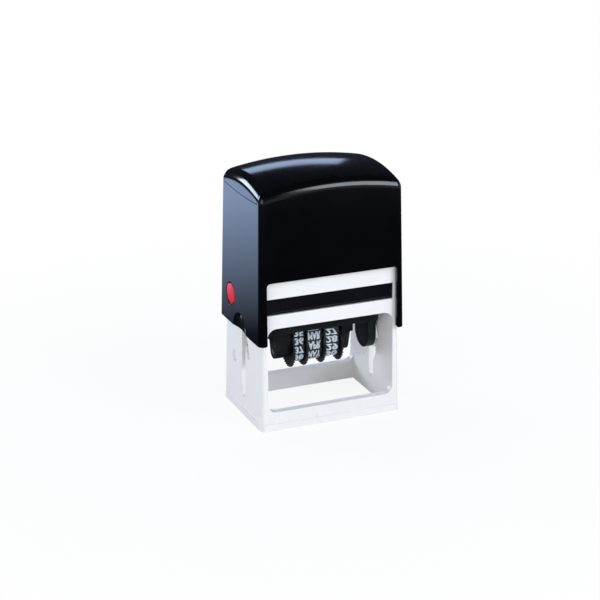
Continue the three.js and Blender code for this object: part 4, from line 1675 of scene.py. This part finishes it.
@dataclass
class Studio:
    """The camera, the floor, the world and the lamps."""

    camera_place: Vector = field(default_factory=lambda: Vector((-348.8, -811.6, 380.2)) * MM)
    camera_aim: Vector = field(default_factory=lambda: Vector((-5.0, 3.2, 57.7)) * MM)
    lens: float = 107.9
    film_width: float = 36.0
    white: Colour = (1.0, 1.0, 1.0)
    paper: tuple[Colour, Colour] = ((0.95, 0.95, 0.955), (0.97, 0.97, 0.975))
    paper_scale: float = 3.0
    paper_roughness: float = 0.9
    floor_half: float = 4.0
    shade_reach: tuple[float, float] = (0.06, 0.34)
    shade_share: float = 0.14
    # Painted reflection: a glowing blue pool on the floor that only glossy rays see, placed behind and left
    # of the stamp.
    pool_place: tuple[float, float, float] = (-0.24, 0.42, 0.0)
    pool_reach: tuple[float, float] = (0.06, 0.34)
    pool_tone: Colour = (1.25, 1.65, 2.5)
    gloss_tone: Colour = (0.03, 0.035, 0.05)
    gloss_rim: Colour = (0.34, 0.36, 0.42)
    rim_reach: tuple[float, float] = (0.45, 0.9)
    back_reach: tuple[float, float] = (0.3, 0.7)
    ceiling: Colour = (0.45, 0.48, 0.55)
    ceiling_reach: tuple[float, float] = (0.27, 0.40)
    lamps: tuple[Lamp, ...] = (
        Lamp("overhead", (0.62, -0.95, 0.64), (0.55, 0.55), 6.6, (0.84, 0.91, 1.0)),
        Lamp("left", (-0.74, 1.00, 0.36), (0.5, 0.35), 6.2, (0.70, 0.82, 1.0)),
        Lamp("front", (-0.95, -0.80, 0.5), (0.9, 0.7), 3.2, (1.0, 0.94, 0.88)),
        Lamp("rear", (0.43, 1.23, 0.58), (0.42, 0.26), 0.9, (0.55, 0.68, 1.0)),
    )

    def camera(self) -> None:
        """Places the camera at the photograph's view."""
        data = bpy.data.cameras.new("camera")
        data.lens = self.lens
        data.sensor_width = self.film_width
        holder = Bench.show("camera", data)
        holder.matrix_world = aimed(self.camera_place, self.camera_aim)
        bpy.context.scene.camera = holder

    def floor(self) -> None:
        """Lays the pale floor, which glossy rays see instead as painted reflections: a glowing blue pool
        behind and left of the stamp, fading into a dark room with a grey rim.
        """
        half = self.floor_half
        corners = [Vector((x, y, 0)) for x, y in rectangle(-half, -half, half, half)]
        made = Bench.mesh("floor", corners, [[0, 1, 2, 3]])
        material, graph, shader = surface("floor_paper", Roughness=self.paper_roughness,
                                          Specular_IOR_Level=0.0)
        noise = graph.noise(self.paper_scale, 2.0)
        graph.feed(shader, Base_Color=graph.mix(noise, *map(solid_colour, self.paper)))
        where = graph.add("ShaderNodeTexCoord").outputs["Object"]
        path = graph.add("ShaderNodeLightPath").outputs
        reach = graph.vector("LENGTH", where, output=1)
        pale = graph.spread(reach, *self.shade_reach, 1 - self.shade_share, 1.0)
        seen = graph.math("MAXIMUM", path["Is Camera Ray"], path["Is Transmission Ray"])
        white = graph.add("ShaderNodeEmission", {"Color": solid_colour(self.white)}).outputs[0]
        shown = graph.add("ShaderNodeMixShader",
                          {0: graph.math("MULTIPLY", pale, seen), 1: shader.outputs[0], 2: white})
        # Painted reflection: glossy rays see a glowing blue pool here, fading into the dark room tone with
        # its grey rim, not the white floor.
        away = graph.vector("DISTANCE", where, self.pool_place, output=1)
        fade = graph.mask(away, *self.pool_reach)
        dim = self.room_tone(graph, where, graph.mask(reach, *self.rim_reach))
        tone = graph.mix(fade, solid_colour(self.pool_tone), dim)
        gloss = graph.add("ShaderNodeEmission", {"Color": tone}).outputs[0]
        both = graph.add("ShaderNodeMixShader", {0: path["Is Glossy Ray"], 1: shown.outputs[0], 2: gloss})
        graph.feed(graph.tree.nodes["Material Output"], Surface=both.outputs[0])
        made.data.materials.append(material)

    def room_tone(self, graph: Graph, way: Socket, share: Socket) -> Socket:
        """Gives the colour that gloss sees: a dark room with a grey rim, but for its back.

        Args:
            graph: The graph of the floor or the world.
            way: The vector from the middle.
            share: Where the rim lies.

        Returns:
            The colour's socket.
        """
        back = graph.add("ShaderNodeSeparateXYZ", {0: graph.vector("NORMALIZE", way)}).outputs[1]
        rim = graph.math("MULTIPLY", share, graph.spread(back, *self.back_reach, 1.0, 0.0))
        return graph.mix(rim, solid_colour(self.gloss_tone), solid_colour(self.gloss_rim))

    def world(self) -> None:
        """Makes the room: white for the camera, pale with a dimmer ceiling as light, and dark in gloss."""
        world = bpy.data.worlds.new("room")
        world.use_nodes = True
        bpy.context.scene.world = world
        graph = Graph(world.node_tree)
        background = world.node_tree.nodes["Background"]
        path = graph.add("ShaderNodeLightPath").outputs
        way = graph.add("ShaderNodeTexCoord").outputs["Generated"]
        height = graph.add("ShaderNodeSeparateXYZ", {0: way}).outputs[2]
        share = graph.mask(height, *self.ceiling_reach)
        room = graph.mix(share, solid_colour(self.white), solid_colour(self.ceiling))
        dim = self.room_tone(graph, way, graph.math("SUBTRACT", 1.0, share))
        glossed = graph.mix(path["Is Glossy Ray"], room, dim)
        graph.feed(background, Color=graph.mix(path["Is Camera Ray"], glossed, solid_colour(self.white)))

    def build(self) -> None:
        """Sets the whole studio up."""
        bpy.context.scene.view_settings.view_transform = "Standard"
        self.camera()
        self.floor()
        self.world()
        for lamp in self.lamps:
            lamp.build()


def main() -> None:
    """Builds the studio and the stamp, one sub-assembly after another."""
    logging.basicConfig(level=logging.INFO, format="%(message)s")
    Studio().build()
    dresser = Dresser()
    for make in (HandleCasing, BaseAndPad, DateWorks):
        make(dresser).build()


if __name__ == "__main__":
    main()
